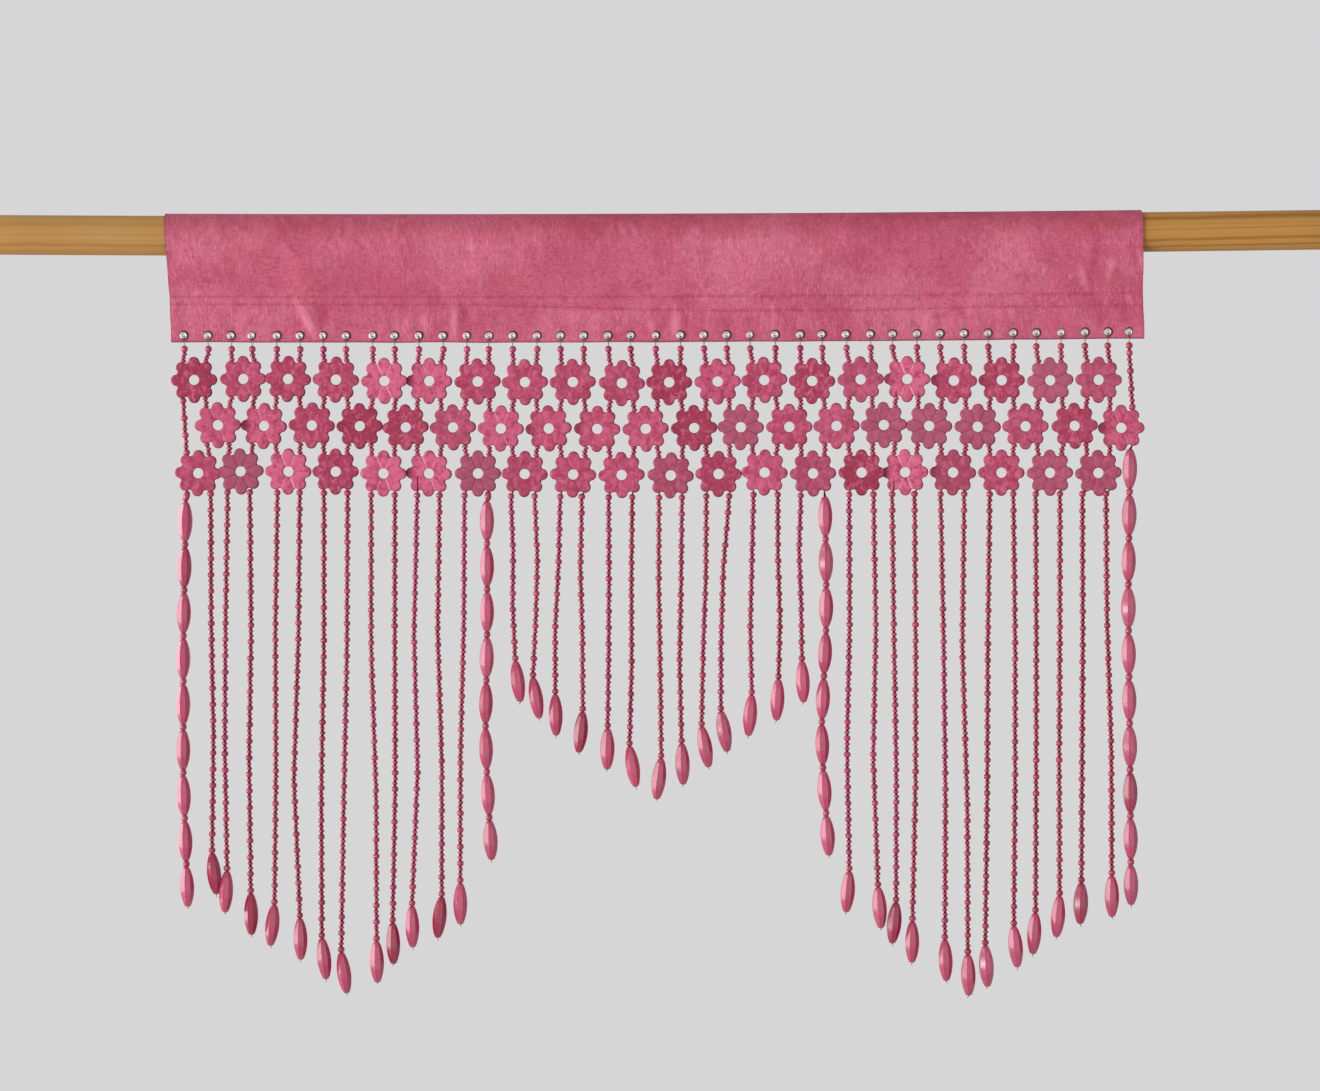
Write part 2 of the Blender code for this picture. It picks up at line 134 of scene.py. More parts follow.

# How far the painted shade of the lower edge, the side edges and the fold, and the darker seams, reach
# into the cloth
EDGE_FADE = 0.0014
SIDE_FADE = 0.0008
SIDE_DARK = 0.4
SEAM_FADE = 0.0013
TOP_DARK = 0.35
TOP_FADE = 0.016
FOLD_DARK_TO = 0.018
FOLD_DARK_FADE = 0.020

# Stitches
STITCH_PITCH = 0.00285
STITCH_HALF = 0.00112
STITCH_UNEVEN = 0.0001
STITCH_R = 0.00024
STITCH_PROUD = 0.00005
STITCH_TILT = 0.06
STITCH_START = 0.0012
STITCH_SHIFT = 0.0011  # of the second line against the first
STITCH_STOP = 0.002
STITCH_ASIDE = 0.00012
LINE_WANDER = 0.0003
# Attributes painted on the cloth: painted shade along its edges and its fold, the crease heights for
# painted highlight and shade, and darker seams
CLOTH_PAINT = ("edge", "fold", "crest", "seams")

# Eyelets
EYELET_RISE = 0.0056
EYELET_ASIDE = -0.0001  # from where the string hangs
EYELET_R = 0.0038
EYELET_HOLE_R = 0.0013
EYELET_BARREL_R = 0.0027
EYELET_LIP_R = 0.0020  # left bright up to here, with no painted shade
EYELET_STEPS = 28
EYELET_TILT = 4  # degrees at most
PUNCH_DEPTH = 0.012
EYELET_RIM = (  # from the hole outwards: the radius, and how far it stands above the hem
    (EYELET_HOLE_R, 0.0),
    (EYELET_HOLE_R + 0.00006, 0.00045),
    (EYELET_HOLE_R + 0.00028, 0.00078),
    (EYELET_HOLE_R + 0.00075, 0.00088),
    (EYELET_HOLE_R + 0.00125, 0.00070),
    (EYELET_R - 0.00018, 0.00034),
    (EYELET_R, 0.00012),
    (EYELET_R - 0.00012, 0.00002),
    (EYELET_BARREL_R, 0.00002),
)
# Painted shade and dark reflection on the eyelets: a little on the lip, more over the face, more still at
# the right, the top and the outer edge
LIP_SHADE = 0.05
FACE_DARK_REFLECTION = 0.60
RIGHT_TOP_SHADE = 0.14  # how much more painted shade there is at the right and at the top
EDGE_SHADE = 0.6
EDGE_SHADE_WIDTH = 0.0006
EDGE_SHADE_FADE = 0.0005
LIP_FADE = 0.0006

# Strings
STRING_COUNT = 41
STRING_PITCH = 0.0191
FIRST_STRING = 0.1708
NECK_R = 0.00130  # of the dyed cord that shows between beads, thick and dark so that it also stands in for the shade between them
THREAD_R = 0.0005  # of the cord inside flowers
LOOP_R = 0.00024
LOOP_CLEAR = 0.0011  # from the hem's face to a loop
LOOP_SEAT = 0.0006  # how far above the hole's foot the loops lie
LOOP_SPLAY = (0.0003, 0.0007)
LOOP_LIFT = 0.0001  # of a loop inside the hole
LOOP_UNDER = 0.0004  # how far below the lower edge a loop turns inwards
HUNG_ASIDE = 0.0004
KNOT_SIZE = (0.0008, 0.0008, 0.0007)
KNOT_DROP = 0.0003
END_R = 0.00028  # of the short end of cord under a knot
END_HALF = (0.0008, 0.0016)
END_DROP = 0.0009
END_LEAN = 0.7
ROUND_R = 0.00285
TOP_ROUND_R = 0.0029
SEED_R = 0.0022
GROUP_PITCH = 0.0133  # one round bead and two seed beads
SEED_SWAY = 0.0002
SHORT_RUN = 0.0125  # up to this length a stretch has seed beads alone
SHORT_SEED_PITCH = 0.0033
SHORT_SEED_R = 0.00235  # the seeds of such a stretch are pushed together and look fuller
ROUND_FILL = 0.96  # how much of its share of the string a bead fills
SEED_FILL = 0.84
FREE_RISE = 0.0015  # how far up its notch the first bead of a free part sits
TOP_BEAD_DROP = 0.0055  # from the lower edge to the middle of the first bead
OVAL_OVERLAP = 0.0003
STRING_TOP_DROP = 0.2120

OVAL_LENGTH = 0.0325
ROW_OVAL_LENGTH = 0.0312  # of the long beads that hang in rows
OVAL_R = 0.0060
OVAL_END_R = 0.0014
OVAL_FACETS = 8
OVAL_RINGS = 14
OVAL_BLUNT = 0.03
OVAL_POWER = 0.66
OVAL_LEVEL = 0.01  # an edge that rises more than this runs along the bead, and is sharp
OVAL_SPIN = (-0.02, 0.20)
BETWEEN_R = 0.0029  # the small beads between ovals
OvalRow = namedtuple("OvalRow", "count pitch")
OVAL_STRINGS = {
    1: OvalRow(9, 0.0369),
    14: OvalRow(8, 0.0369),
    28: OvalRow(8, 0.0369),
    41: OvalRow(10, 0.0374),
}
STRING_TONES = (0.13, 0.34)
BEAD_TONES = 0.12  # how far a bead's tone is from its string's, at most
BEAD_TURN = (-0.05, 0.28)
OVAL_TONES = (0.38, 0.58)
DEEPER = 0.32  # by how much the long beads listed here as (string, bead) are deeper in tone
DEEP_OVALS = {(1, 2), (41, 8), (2, 1), (4, 1), (10, 1), (12, 1), (18, 1), (31, 1), (39, 1)}

# Flowers
FLOWER_STAGGER = 0.0003
FLOWER_CHANNEL = 0.0091
FLOWER_HOLE_R = 0.0042
PETALS = 8
PETAL_R = 0.0046
PETAL_OUT = 0.01425
NOTCH_R = 0.0148
FLOWER_HALF = 0.0015
CHANNEL_REACH = 0.0138  # from a flower's centre up to where its strings come out
CHANNEL_RISE = 0.00012
CHANNEL_HALF = 0.0011
NOTCH_SOFT = 0.00025
GROOVE_DEPTH = 0.00016
GROOVE_HALF = 0.00026
GROOVE_FROM = 0.0008  # from the hole
PETAL_RISE = 0.00014
PETAL_RISE_EDGE = 0.0014
PETAL_RISE_GROOVE = 0.0030
EDGE_ROUND = 0.00075
EDGE_ROUND_WIDTH = 0.0008
HOLE_ROUND = 0.00030
HOLE_ROUND_WIDTH = 0.0005
# Painted shade along a flower's outline, deeper at the lower right, and round its hole
RIM_DARK_HALF = 0.00075  # of the dark line inside the outline
HOLE_DARK = 0.45
HOLE_DARK_HALF = 0.0004
RIM_DARK = 0.62
RIM_SHADY = 0.34  # how much darker the rim is at the lower right
STREAKS_ROUND = 0.28  # brush streaks a degree
STREAKS_OUT = 90  # and a metre
GROOVE_SLOPE = 1.3  # grooves steeper than this catch the light
GROOVE_TURN = 0.004
SOFT_GROOVES = 0.55  # light in the upper right and lower left grooves, against the others
DUSKY_GROOVE = 0.6
PLAIN_GROOVE = 0.35
TUCKED_FROM = 0.0105
TUCKED_OVER = 0.005
TUCKED_SHADE = 0.9
FLOWER_TONE = 0.38
FLOWER_TONES = 0.12  # how far a flower's tone is from that, at most
# How much lighter a flower's tone is painted for each step of shine, as a painted sheen
LIGHTER = 0.62

# Sideways places in millimetres from the string's own line, at its eyelet, at the top, two
# places down and the end of its free part, its long bead's tilt in degrees, and the millimetres
# from the pole's axis to its tip.
String = namedtuple("String", "eyelet top upper lower end swing drop")
STRINGS = [String._make(row) for row in (
    (0, 1, -1.5, -2, 1.5, 0, 542),
    (0.5, 2, 2, 3.5, 2, 6, 532),
    (0, -3.5, -5.5, -6.5, -5, -3, 546.5),
    (-2.5, -4.5, -4, -6, -5, 1, 564.5),
    (-1, -1.5, -3.5, -3.5, -5, -6, 573.5),
    (-1.5, -2.5, -4, -8, -3.5, 1, 584.5),
    (-2, -2, -2.5, -5, -5, 6, 600.5),
    (-2.5, -2, -3, -6, -8.5, 8, 612),
    (0, -2, -2.5, 1, 1, 1, 603),
    (-1.5, -2, -2.5, -2.5, -5, 1, 588),
    (-1, -3, -6, -3.5, -8.5, 1, 574.5),
    (-0.5, -4, -6, -3, -3.5, -6, 567),
    (-0.5, -3, -4, -7, -7.5, 0, 556),
    (-1.5, -4, -4, -6, -1, 0, 504),
    (-1.5, -3.5, -2, -2.5, -0.5, 7, 376.5),
    (-1, -3.5, -1.5, -3, -5.5, 9, 390),
    (-1, -2, -3.5, -6.5, -6.5, 1, 403.5),
    (-1.5, -3.5, -5, -3.5, -3.5, -6, 417.5),
    (-1, -1, -1, -1.5, -2.5, -1, 431),
    (-1.5, -1, -2, -2, -4, 9, 445.5),
    (-0.5, 1.5, 1, 2, 2.5, -7, 455.5),
    (0.5, 1, 0, -1.5, 0, 2, 443.5),
    (0, 1.5, 1, -1.5, -3, 10, 430),
    (-0.5, 1, -4, -6, -6.5, 9, 417.5),
    (-1, 1.5, 0, -1.5, -0.5, -5, 404.5),
    (0.5, 2, 2, 3.5, 2, -3, 392),
    (1.5, 1.5, 0, 1.5, 2, 2, 377.5),
    (0, 2, 3, -2, 4.5, 0, 501.5),
    (0.5, 2.5, 2.5, 0, 1.5, -5, 547.5),
    (1, 3, 4.5, 2, 5.5, 4, 560.5),
    (0, -1, 0, 1.5, 1, -6, 573),
    (0.5, -2, -1.5, -2, -5, -1, 588.5),
    (0, 0, 2, 3, 2, 2, 603.5),
    (0.5, 0, -2, 1.5, 1.5, 1, 615.5),
    (0.5, 1.5, -0.5, -1.5, -3.5, 3, 608.5),
    (2, 1.5, 2.5, 2, 0.5, 5, 593),
    (1.5, 0.5, 0.5, 0, -1, -4, 582.5),
    (2.5, 1, 0.5, -0.5, -0.5, -5, 569),
    (2.5, 0, 0, -1, -2, -2, 558.5),
    (2, 0, 0.5, 3.5, 3.5, 0, 553),
    (0, 0.5, -1.5, -0.5, 0, 0, 543.5),
)]

# Each row starts at a string and joins pairs of strings. Aside and lower are millimetres by
# which a flower lies to the right of and below its even place. Light, dusky and tucked name
# the flowers, counted from 1, that shine (painted lighter as a painted sheen, with painted
# highlights in upright grooves; below 0 painted darker), that look dusty, and whose left side
# lies behind, painted in shade, and say how much.
FlowerRow = namedtuple("FlowerRow", "first_string drop aside lower light dusky tucked")
FLOWER_ROWS = (
    FlowerRow(
        1,
        0.1176,
        (-1.5, 0, -2, -1.5, -0.5, -2.5, -1.5, -1.5, -1, 0.5, 0.5, 1.5, 1, 1.5, 2.5, 2, 1.5, 2, 3, 4),
        (-1, -2, -2, -1.5, -0.5, -0.5, 0, 0.5, 0.5, 1.5, 1, 0.5, -0.5, 0.5, -0.5, -0.5, 1, 1, 1.5, 1.5),
        {1: -0.5, 5: 1.0, 6: 0.5, 11: -0.4, 12: 0.3, 14: -0.3, 15: 0.2, 16: 1.0, 19: 0.5, 20: 0.3},
        {15: 0.4, 19: 0.9, 20: 0.4},
        {6: 1.0, 16: 0.8, 17: 0.9, 18: 0.5},
    ),
    FlowerRow(
        2,
        0.1551,
        (-1.5, -2.5, -2, -1.5, -2.5, -2.5, -2, -1.5, -0.5, 0.5, 1.5, 1, 2, 2, 2, 0.5, 1.5, 2, 3.5, 3),
        (-2, -1.5, -2, -1.5, -0.5, -0.5, 0.5, 0.5, 1, 1, 0.5, 0, 0, -0.5, -1, 0, 1, 1, 1, 3),
        {
            1: 0.5, 2: 0.6, 3: -0.3, 4: -0.4, 5: -0.4, 6: 0.2, 7: 0.7, 8: 0.2, 9: 0.2,
            10: 0.2, 11: -0.3, 12: 0.1, 14: 0.4, 15: 0.2, 16: 0.2, 18: 0.4, 20: 0.6,
        },
        {6: 0.3, 12: 0.9, 14: 0.2, 15: 0.8, 16: 1.0, 17: 0.8, 18: 0.2},
        {2: 1.0, 4: 0.5, 8: 0.8, 9: 0.8, 11: 0.7, 20: 0.9},
    ),
    FlowerRow(
        1,
        0.1924,
        (1.5, -2.5, -2, -2, -1.5, -3, -1.5, -2, -1, 0, 1.5, 2, 1, 2, 3, 0, 0.5, 1.5, 2.5, 3.5),
        (-0.5, -2, -2, -2, -0.5, -0.5, -0.5, 0, 0.5, 1, 1.5, 0.5, -0.5, 0.5, 0, 0, 0.5, 1, 1.5, 2),
        {1: 0.1, 2: -0.2, 3: 0.9, 4: -0.5, 5: 0.8, 6: 0.7, 12: -0.3, 13: 0.5, 15: -0.5, 16: 1.4, 19: 0.3},
        {2: 1.0, 7: 0.9, 11: 0.5, 14: 0.3, 17: 0.4, 19: 0.7, 20: 0.6},
        {6: 0.9, 16: 1.0, 17: 0.7},
    ),
)

# Soft folds of the pocket's front: millimetres from the band's left edge, half width, how far
# it stands out, and how far its foot lies to the right of its head.
Fold = namedtuple("Fold", "place half_width out slant")
FOLDS = [Fold._make(row) for row in (
    (112, 30, 0.9, 12),
    (255, 26, 1.2, -8),
    (378, 34, 0.8, 22),
    (520, 40, 0.7, -10),
    (645, 36, 1.0, 14),
    (742, 24, 1.3, -6),
)]

# Creases pressed into the front: millimetres from the left edge and below the axis (or below 0
# above it) to the middle, length, half width, height (or below 0 depth) and lean in degrees.
Crease = namedtuple("Crease", "place drop length half_width height lean")
CREASES = [Crease._make(row) for row in (
    (110, 66, 34, 2.8, 1.15, 24),
    (124, 62, 22, 3.0, -0.60, 24),
    (60, 26, 44, 4.0, 0.40, 12),
    (183, 70, 20, 1.8, 0.60, 0),
    (206, 72, 22, 3.0, 0.45, 18),
    (230, 68, 26, 2.4, 0.90, -4),
    (238, 61, 16, 2.2, -0.75, -4),
    (247, 8, 14, 1.9, 0.55, 8),
    (252, 37, 22, 1.9, 0.50, 5),
    (262, 34, 30, 3.5, -0.35, 14),
    (300, 70, 26, 4.0, 0.40, -30),
    (368, -4, 16, 2.0, 0.75, 27),
    (377, -4, 16, 2.0, 0.75, 25),
    (389, 72, 22, 2.4, 0.65, 4),
    (409, 71, 28, 3.2, 1.00, -3),
    (417, 71, 26, 2.4, -0.60, -3),
    (427, -4, 14, 2.2, 0.60, 40),
    (488, 65, 24, 1.8, 0.65, -3),
    (509, 73, 18, 1.8, 0.50, 0),
    (528, 30, 40, 5.0, -0.35, -16),
    (570, 12, 34, 3.0, 0.35, 52),
    (639, 70, 16, 2.4, 0.55, 0),
    (664, 74, 20, 3.0, -0.40, -14),
    (681, 61, 18, 2.4, 0.60, 0),
    (739, 37, 30, 2.2, 0.80, 18),
    (748, 22, 44, 3.2, -0.50, -10),
    (754, -4, 14, 2.2, 0.60, 30),
    (761, 29, 22, 2.2, 0.65, -12),
    (776, 52, 12, 2.0, 0.60, 10),
)]


# Shared shapes


def axis_z(x):
    """The height of the bowed pole's axis."""
    along = x / POLE_LENGTH
    return -4 * POLE_BOW * along * (1 - along)


def clamped(value):
    return min(1.0, max(0.0, value))


def smooth_step(value):
    value = clamped(value)
    return value * value * (3 - 2 * value)


def bell(value):
    return math.exp(-value * value)


def hem_y(x):
    """How far the hem swings forward or back."""
    return HEM_WAVE * math.sin(math.tau * (x - BAND_LEFT) / HEM_WAVE_LENGTH + HEM_WAVE_START)


def second_seam(x):
    """How far down the second line of stitches runs."""
    drift = SEAM_DRIFT * smooth_step((x - SEAM_DRIFT_FROM) / SEAM_DRIFT_OVER)
    drift -= SEAM_RETURN * smooth_step((x - SEAM_RETURN_FROM) / SEAM_RETURN_OVER)
    return SECOND_SEAM_DROP + drift + SEAM_WANDER * rough_noise(x * 14, 3.3, 0.0)


def string_line(number):
    return FIRST_STRING + (number - 1) * STRING_PITCH


def eyelet_place(number):
    x = string_line(number) + STRINGS[number - 1].eyelet * MM + EYELET_ASIDE
    return Vector((x, hem_y(x), axis_z(x) - BAND_DROP + EYELET_RISE))


def flower_place(row, index):
    number = row.first_string + 2 * index
    x = string_line(number) + STRING_PITCH / 2 + row.aside[index] * MM
    forward = FLOWER_STAGGER if index % 2 else -FLOWER_STAGGER
    return Vector((x, forward, axis_z(x) - row.drop - row.lower[index] * MM))


def rough_noise(x, y, z, seed=0.0):
    """Smooth noise: a number that scales a place is waves a metre, others choose the pattern."""
    return noise.noise(Vector((x + seed, y - seed, z)))


# Making pieces


def loose_object(name, data):
    piece = bpy.data.objects.new(name, data)
    bpy.context.scene.collection.objects.link(piece)
    return piece


def add_piece(name, mesh, material, slot, *nodes):
    """A finished piece that rides on the one body and stands for some nodes of the frame."""
    piece = loose_object(name, mesh)
    mesh.materials.clear()
    mesh.materials.append(material)
    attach(piece, "root")
    if nodes:
        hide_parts(*nodes)
    return piece


def plain_mesh(bm, name):
    mesh = bpy.data.meshes.new(name)
    bm.to_mesh(mesh)
    bm.free()
    return mesh


def finish_mesh(bm, name, smooth_angle=None):
    """A smooth-shaded mesh from a bmesh whose faces are turned outwards."""
    bmesh.ops.recalc_face_normals(bm, faces=bm.faces)
    for face in bm.faces:
        face.smooth = True
    mesh = plain_mesh(bm, name)
    if smooth_angle is not None:
        mesh.set_sharp_from_angle(angle=math.radians(smooth_angle))
    return mesh


def add_rod(bm, radius, length, sides, middle, turned_about):
    """A closed rod whose length, at first upright, is turned about another axis."""
    place = Matrix.Translation(middle) @ Matrix.Rotation(math.pi / 2, 4, turned_about)
    bmesh.ops.create_cone(
        bm, cap_ends=True, segments=sides, radius1=radius, radius2=radius, depth=length, matrix=place
    )


def spun_profile(places, axis, steps, closed, merge=1e-7):
    """A bmesh of a line of places turned all the way round an axis through the origin."""
    bm = bmesh.new()
    corners = [bm.verts.new(place) for place in places]
    ends = corners[1:] + corners[:1] if closed else corners[1:]
    line = corners + [bm.edges.new(pair) for pair in zip(corners, ends)]
    centre = (0, 0, 0)
    bmesh.ops.spin(bm, geom=line, axis=axis, cent=centre, steps=steps, angle=math.tau, use_merge=True)
    bmesh.ops.remove_doubles(bm, verts=bm.verts, dist=merge)
    return bm


def evaluated_copy(piece, name):
    """The mesh of an object with its modifiers worked in, and the object removed."""
    bpy.context.view_layer.update()
    graph = bpy.context.evaluated_depsgraph_get()
    mesh = bpy.data.meshes.new_from_object(piece.evaluated_get(graph))
    mesh.name = name
    bpy.data.objects.remove(piece, do_unlink=True)
    return mesh


def copied_in(bm, mesh):
    """The vertices of a copy of a mesh that is added to a bmesh."""
    start = len(bm.verts)
    bm.from_mesh(mesh)
    bm.verts.ensure_lookup_table()
    return bm.verts[start:]


def joined_copies(name, shapes, places, paint=()):
    """One mesh of many copies of small shapes.

    Each place is (shape name, matrix, one number for each paint name), and the numbers become
    point attributes that the finishes read.
    """
    bm = bmesh.new()
    layers = [bm.verts.layers.float.new(label) for label in paint]
    for shape, matrix, *values in places:
        fresh = copied_in(bm, shapes[shape])
        bmesh.ops.transform(bm, matrix=matrix, verts=fresh)
        for layer, value in zip(layers, values):
            for vert in fresh:
                vert[layer] = value
    return plain_mesh(bm, name)


def tube_mesh(name, runs):
    """Thin round threads along runs of places, each run a list of (place, radius)."""
    curve = bpy.data.curves.new(name, "CURVE")
    curve.dimensions = "3D"
    curve.bevel_depth = 1.0
    curve.bevel_resolution = 1
    curve.use_fill_caps = True
    for run in runs:
        spline = curve.splines.new("POLY")
        spline.points.add(len(run) - 1)
        for point, (place, radius) in zip(spline.points, run):
            point.co = (*place, 1)
            point.radius = radius
    mesh = evaluated_copy(loose_object(name, curve), name)
    bpy.data.curves.remove(curve)
    bm = bmesh.new()
    bm.from_mesh(mesh)
    bmesh.ops.remove_doubles(bm, verts=bm.verts, dist=MERGE)
    bpy.data.meshes.remove(mesh)
    return finish_mesh(bm, name, 50)


# Finishes


class Value:
    """A number that varies over a surface, with the arithmetic that adds its Math nodes."""

    def __init__(self, finish, socket):
        self.finish = finish
        self.socket = socket

    def maths(self, operation, *inputs):
        made = self.finish.node("ShaderNodeMath", {"operation": operation}, dict(enumerate(inputs)))
        return Value(self.finish, made.outputs[0])

    def __add__(self, other):
        return self.maths("ADD", self, other)

    def __sub__(self, other):
        return self.maths("SUBTRACT", self, other)

    def __rsub__(self, other):
        return self.maths("SUBTRACT", other, self)

    def __mul__(self, other):
        return self.maths("MULTIPLY", self, other)

    __radd__ = __add__
    __rmul__ = __mul__

    def between(self, low, high):
        """0 below low, 1 above high and smooth between them."""
        made = self.finish.node(
            "ShaderNodeMapRange",
            {"interpolation_type": "SMOOTHSTEP"},
            {"Value": self, "From Min": low, "From Max": high},
        )
        return Value(self.finish, made.outputs["Result"])

    def size(self):
        return self.maths("ABSOLUTE", self)


SOCKETS = {
    "metallic": "Metallic",
    "specular": "Specular IOR Level",
    "coat": "Coat Weight",
    "coat_roughness": "Coat Roughness",
}


class Finish:
    """A material with a Principled shader and helpers that add its nodes."""

    def __init__(self, name, **constants):
        self.material = bpy.data.materials.new(name)
        self.material.use_nodes = True
        self.tree = self.material.node_tree
        self.shader = self.tree.nodes["Principled BSDF"]
        for label, value in constants.items():
            self.shader.inputs[SOCKETS[label]].default_value = value

    def node(self, kind, settings=None, sockets=None):
        made = self.tree.nodes.new(kind)
        for label, value in (settings or {}).items():
            setattr(made, label, value)
        for label, value in (sockets or {}).items():
            self.feed(made.inputs[label], value)
        return made

    def feed(self, socket, value):
        if isinstance(value, Value):
            value = value.socket
        if isinstance(value, bpy.types.NodeSocket):
            self.tree.links.new(value, socket)
        elif isinstance(value, tuple) and len(value) == 3 and socket.type == "RGBA":
            socket.default_value = (*value, 1.0)
        else:
            socket.default_value = value

    def attribute(self, name):
        made = self.node("ShaderNodeAttribute", {"attribute_name": name})
        return Value(self, made.outputs["Fac"])

    def place(self, scale):
        """Object coordinates in metres, stretched."""
        coords = self.node("ShaderNodeTexCoord").outputs["Object"]
        return self.node("ShaderNodeMapping", sockets={"Vector": coords, "Scale": scale}).outputs["Vector"]

    def along(self, axis):
        coords = self.node("ShaderNodeTexCoord").outputs["Object"]
        parts = self.node("ShaderNodeSeparateXYZ", sockets={"Vector": coords})
        return Value(self, parts.outputs[axis])

    def noise(self, scale, detail=2.0, stretch=(1, 1, 1), rough=0.5, warp=0.0, over=None):
        """Cloudy noise over the object's own place, or over another vector."""
        made = self.node(
            "ShaderNodeTexNoise",
            sockets={
                "Vector": over or self.place(stretch),
                "Scale": scale,
                "Detail": detail,
                "Roughness": rough,
                "Distortion": warp,
            },
        )
        return Value(self, made.outputs["Fac"])

    def blend(self, share, first, second):
        """One colour over another, the share of it that shows, and each a socket or a tuple."""
        made = self.node("ShaderNodeMix", {"data_type": "RGBA"}, {0: share, 6: first, 7: second})
        return made.outputs[2]

    def layered(self, colour, *layers):
        """A colour with more laid over it, each given with the share of it that shows."""
        for share, over in layers:
            colour = self.blend(share, colour, over)
        return colour

    def done(self, colour, roughness, *bump):
        """The material with its colour, its roughness and the height, strength and depth of bump."""
        self.feed(self.shader.inputs["Base Color"], colour)
        self.feed(self.shader.inputs["Roughness"], roughness)
        if bump:
            sockets = dict(zip(("Height", "Strength", "Distance"), bump))
            made = self.node("ShaderNodeBump", sockets=sockets)
            self.feed(self.shader.inputs["Normal"], made.outputs["Normal"])
        return self.material


def above_axis(finish):
    """The height of a place over the pole's bowed axis."""
    share = finish.along("X") * (1 / POLE_LENGTH)
    return finish.along("Z") - share * (share - 1) * (4 * POLE_BOW)


def pine_finish():
    """Satin pine: pale wood with darker year lines along it, redder towards the right end."""
    finish = Finish("pine", specular=0.3)
    length, depth, height = (finish.along(axis) for axis in "XYZ")
    wander = finish.noise(6, 3.0, (1, 0.2, 0.2), 0.6)
    behind = depth.between(0.0, 0.004)
    level = above_axis(finish) + (wander - 0.5) * GRAIN_WANDER + behind * GRAIN_BEHIND
    level = level + (1 - length * (1 / POLE_LENGTH)) * GRAIN_DRIFT
    fray = finish.noise(70, 3.0, (0.12, 1, 1), 0.6)
    streaks = finish.noise(520, 3.0, (0.012, 1, 1), 0.6)
    clouds = finish.noise(9, 2.0, (0.5, 1, 1))
    right = length.between(0.3, 0.95)
    colour = finish.layered(
        (0.545, 0.305, 0.100),
        (clouds.between(0.3, 0.7), (0.485, 0.256, 0.070)),
        (right * 0.8, (0.515, 0.245, 0.050)),
        ((0 - height).between(0.004, 0.012) * 0.5, (0.565, 0.270, 0.075)),
    )
    for line in YEAR_LINES:
        off = (level + (fray - 0.5) * (line.half_width * MM * 1.5) - line.height * MM).size()
        dark = 1 - off.between(0.0, line.half_width * MM)
        colour = finish.blend(dark * (line.left + right * (line.right - line.left)), colour, PINE_LATE)
    colour = finish.blend(streaks.between(0.46, 0.70) * 0.35, colour, (0.40, 0.180, 0.045))
    return finish.done(colour, 0.46 + streaks * 0.16, streaks + fray * 0.4, 0.2, 0.0004)


def cotton_finish():
    """Hand-dyed cotton: cloudy rose, darker where the dye pooled, with slubs and a fine weave; painted
    shade along its fold and edges and in the creases' troughs, painted highlights on their crests.
    """
    finish = Finish("rose_cotton", specular=0.12)
    edge, fold, crest, seams = (finish.attribute(label) for label in CLOTH_PAINT)
    clouds = finish.noise(13, 4.0, (1, 1, 1), 0.6, 0.8)
    faded = finish.noise(8.5, 3.0, (1, 1, 1.6), 0.55, 0.6)
    pools = finish.noise(42, 5.0, (1, 1, 0.8), 0.7, 1.0)
    stains = finish.noise(105, 4.0, (1, 1, 0.7), 0.7, 0.8)
    flecks = finish.noise(330, 3.0, (1, 1, 0.8), 0.7)
    rubs = finish.noise(75, 4.0, (1, 1, 0.45), 0.6, 1.2)
    slubs = finish.noise(900, 3.0, (1, 0.3, 0.22), 0.6)
    weft = finish.noise(900, 3.0, (0.22, 1, 1), 0.6)
    cross = finish.noise(1500, 2.0)
    warm = finish.noise(24, 3.0, (1, 1, 1), 0.6, 1.0)
    patch = faded.between(0.42, 0.62)
    # Painted highlight on the crease crests
    painted_crest_light = crest.between(0.05, 0.9) * (rubs + 0.35)
    uneven = pools * 0.6 + stains * 0.9 - 0.32
    colour = finish.layered(
        (0.545, 0.092, 0.172),
        (clouds.between(0.30, 0.70), (0.655, 0.152, 0.246)),
        (warm.between(0.50, 0.66) * 0.26, (0.59, 0.108, 0.155)),
        ((1 - warm).between(0.50, 0.66) * 0.22, (0.59, 0.124, 0.262)),
        (faded.between(0.50, 0.70) * 0.45, (0.73, 0.215, 0.315)),
        (pools.between(0.50, 0.72) * 0.55, (0.45, 0.060, 0.112)),
        (stains.between(0.52, 0.74) * 0.40, (0.44, 0.058, 0.112)),
        (rubs.between(0.54, 0.76) * 0.45, (0.78, 0.235, 0.345)),
        (flecks.between(0.52, 0.72) * 0.42, (0.40, 0.056, 0.110)),
        (slubs.between(0.46, 0.70) * (0.22 + patch * 0.50), (0.80, 0.260, 0.365)),
        (weft.between(0.46, 0.70) * (0.66 - patch * 0.34), (0.42, 0.066, 0.128)),
        # Painted highlight on the crease crests
        (painted_crest_light * 0.62, (0.84, 0.290, 0.400)),
        # Painted shade in the crease troughs
        ((0 - crest).between(0.05, 0.6) * 0.45, (0.42, 0.048, 0.100)),
        (seams * stains.between(0.36, 0.60) * 0.45, (0.40, 0.040, 0.085)),
        # Painted shade along the fold, made uneven
        (fold * uneven * 1.15, (0.40, 0.066, 0.092)),
        # Painted shade along the lower edge and the side edges
        (edge * 0.88, (0.12, 0.026, 0.042)),
    )
    crumple = pools * 2.0 + rubs * 1.2 + stains * 0.8
    height = crumple + slubs * 0.25 + weft * 0.25 + cross * 0.25
    return finish.done(colour, 0.88 + cross * 0.10, height, 0.6, 0.0011)


def stitch_finish():
    finish = Finish("stitching_thread", specular=0.2)
    twist = finish.noise(2400, 1.0, (0.35, 1, 1))
    colour = finish.blend(twist, (0.40, 0.056, 0.110), (0.58, 0.120, 0.195))
    return finish.done(colour, 0.75 + twist * 0.15, twist, 0.4, 0.0002)


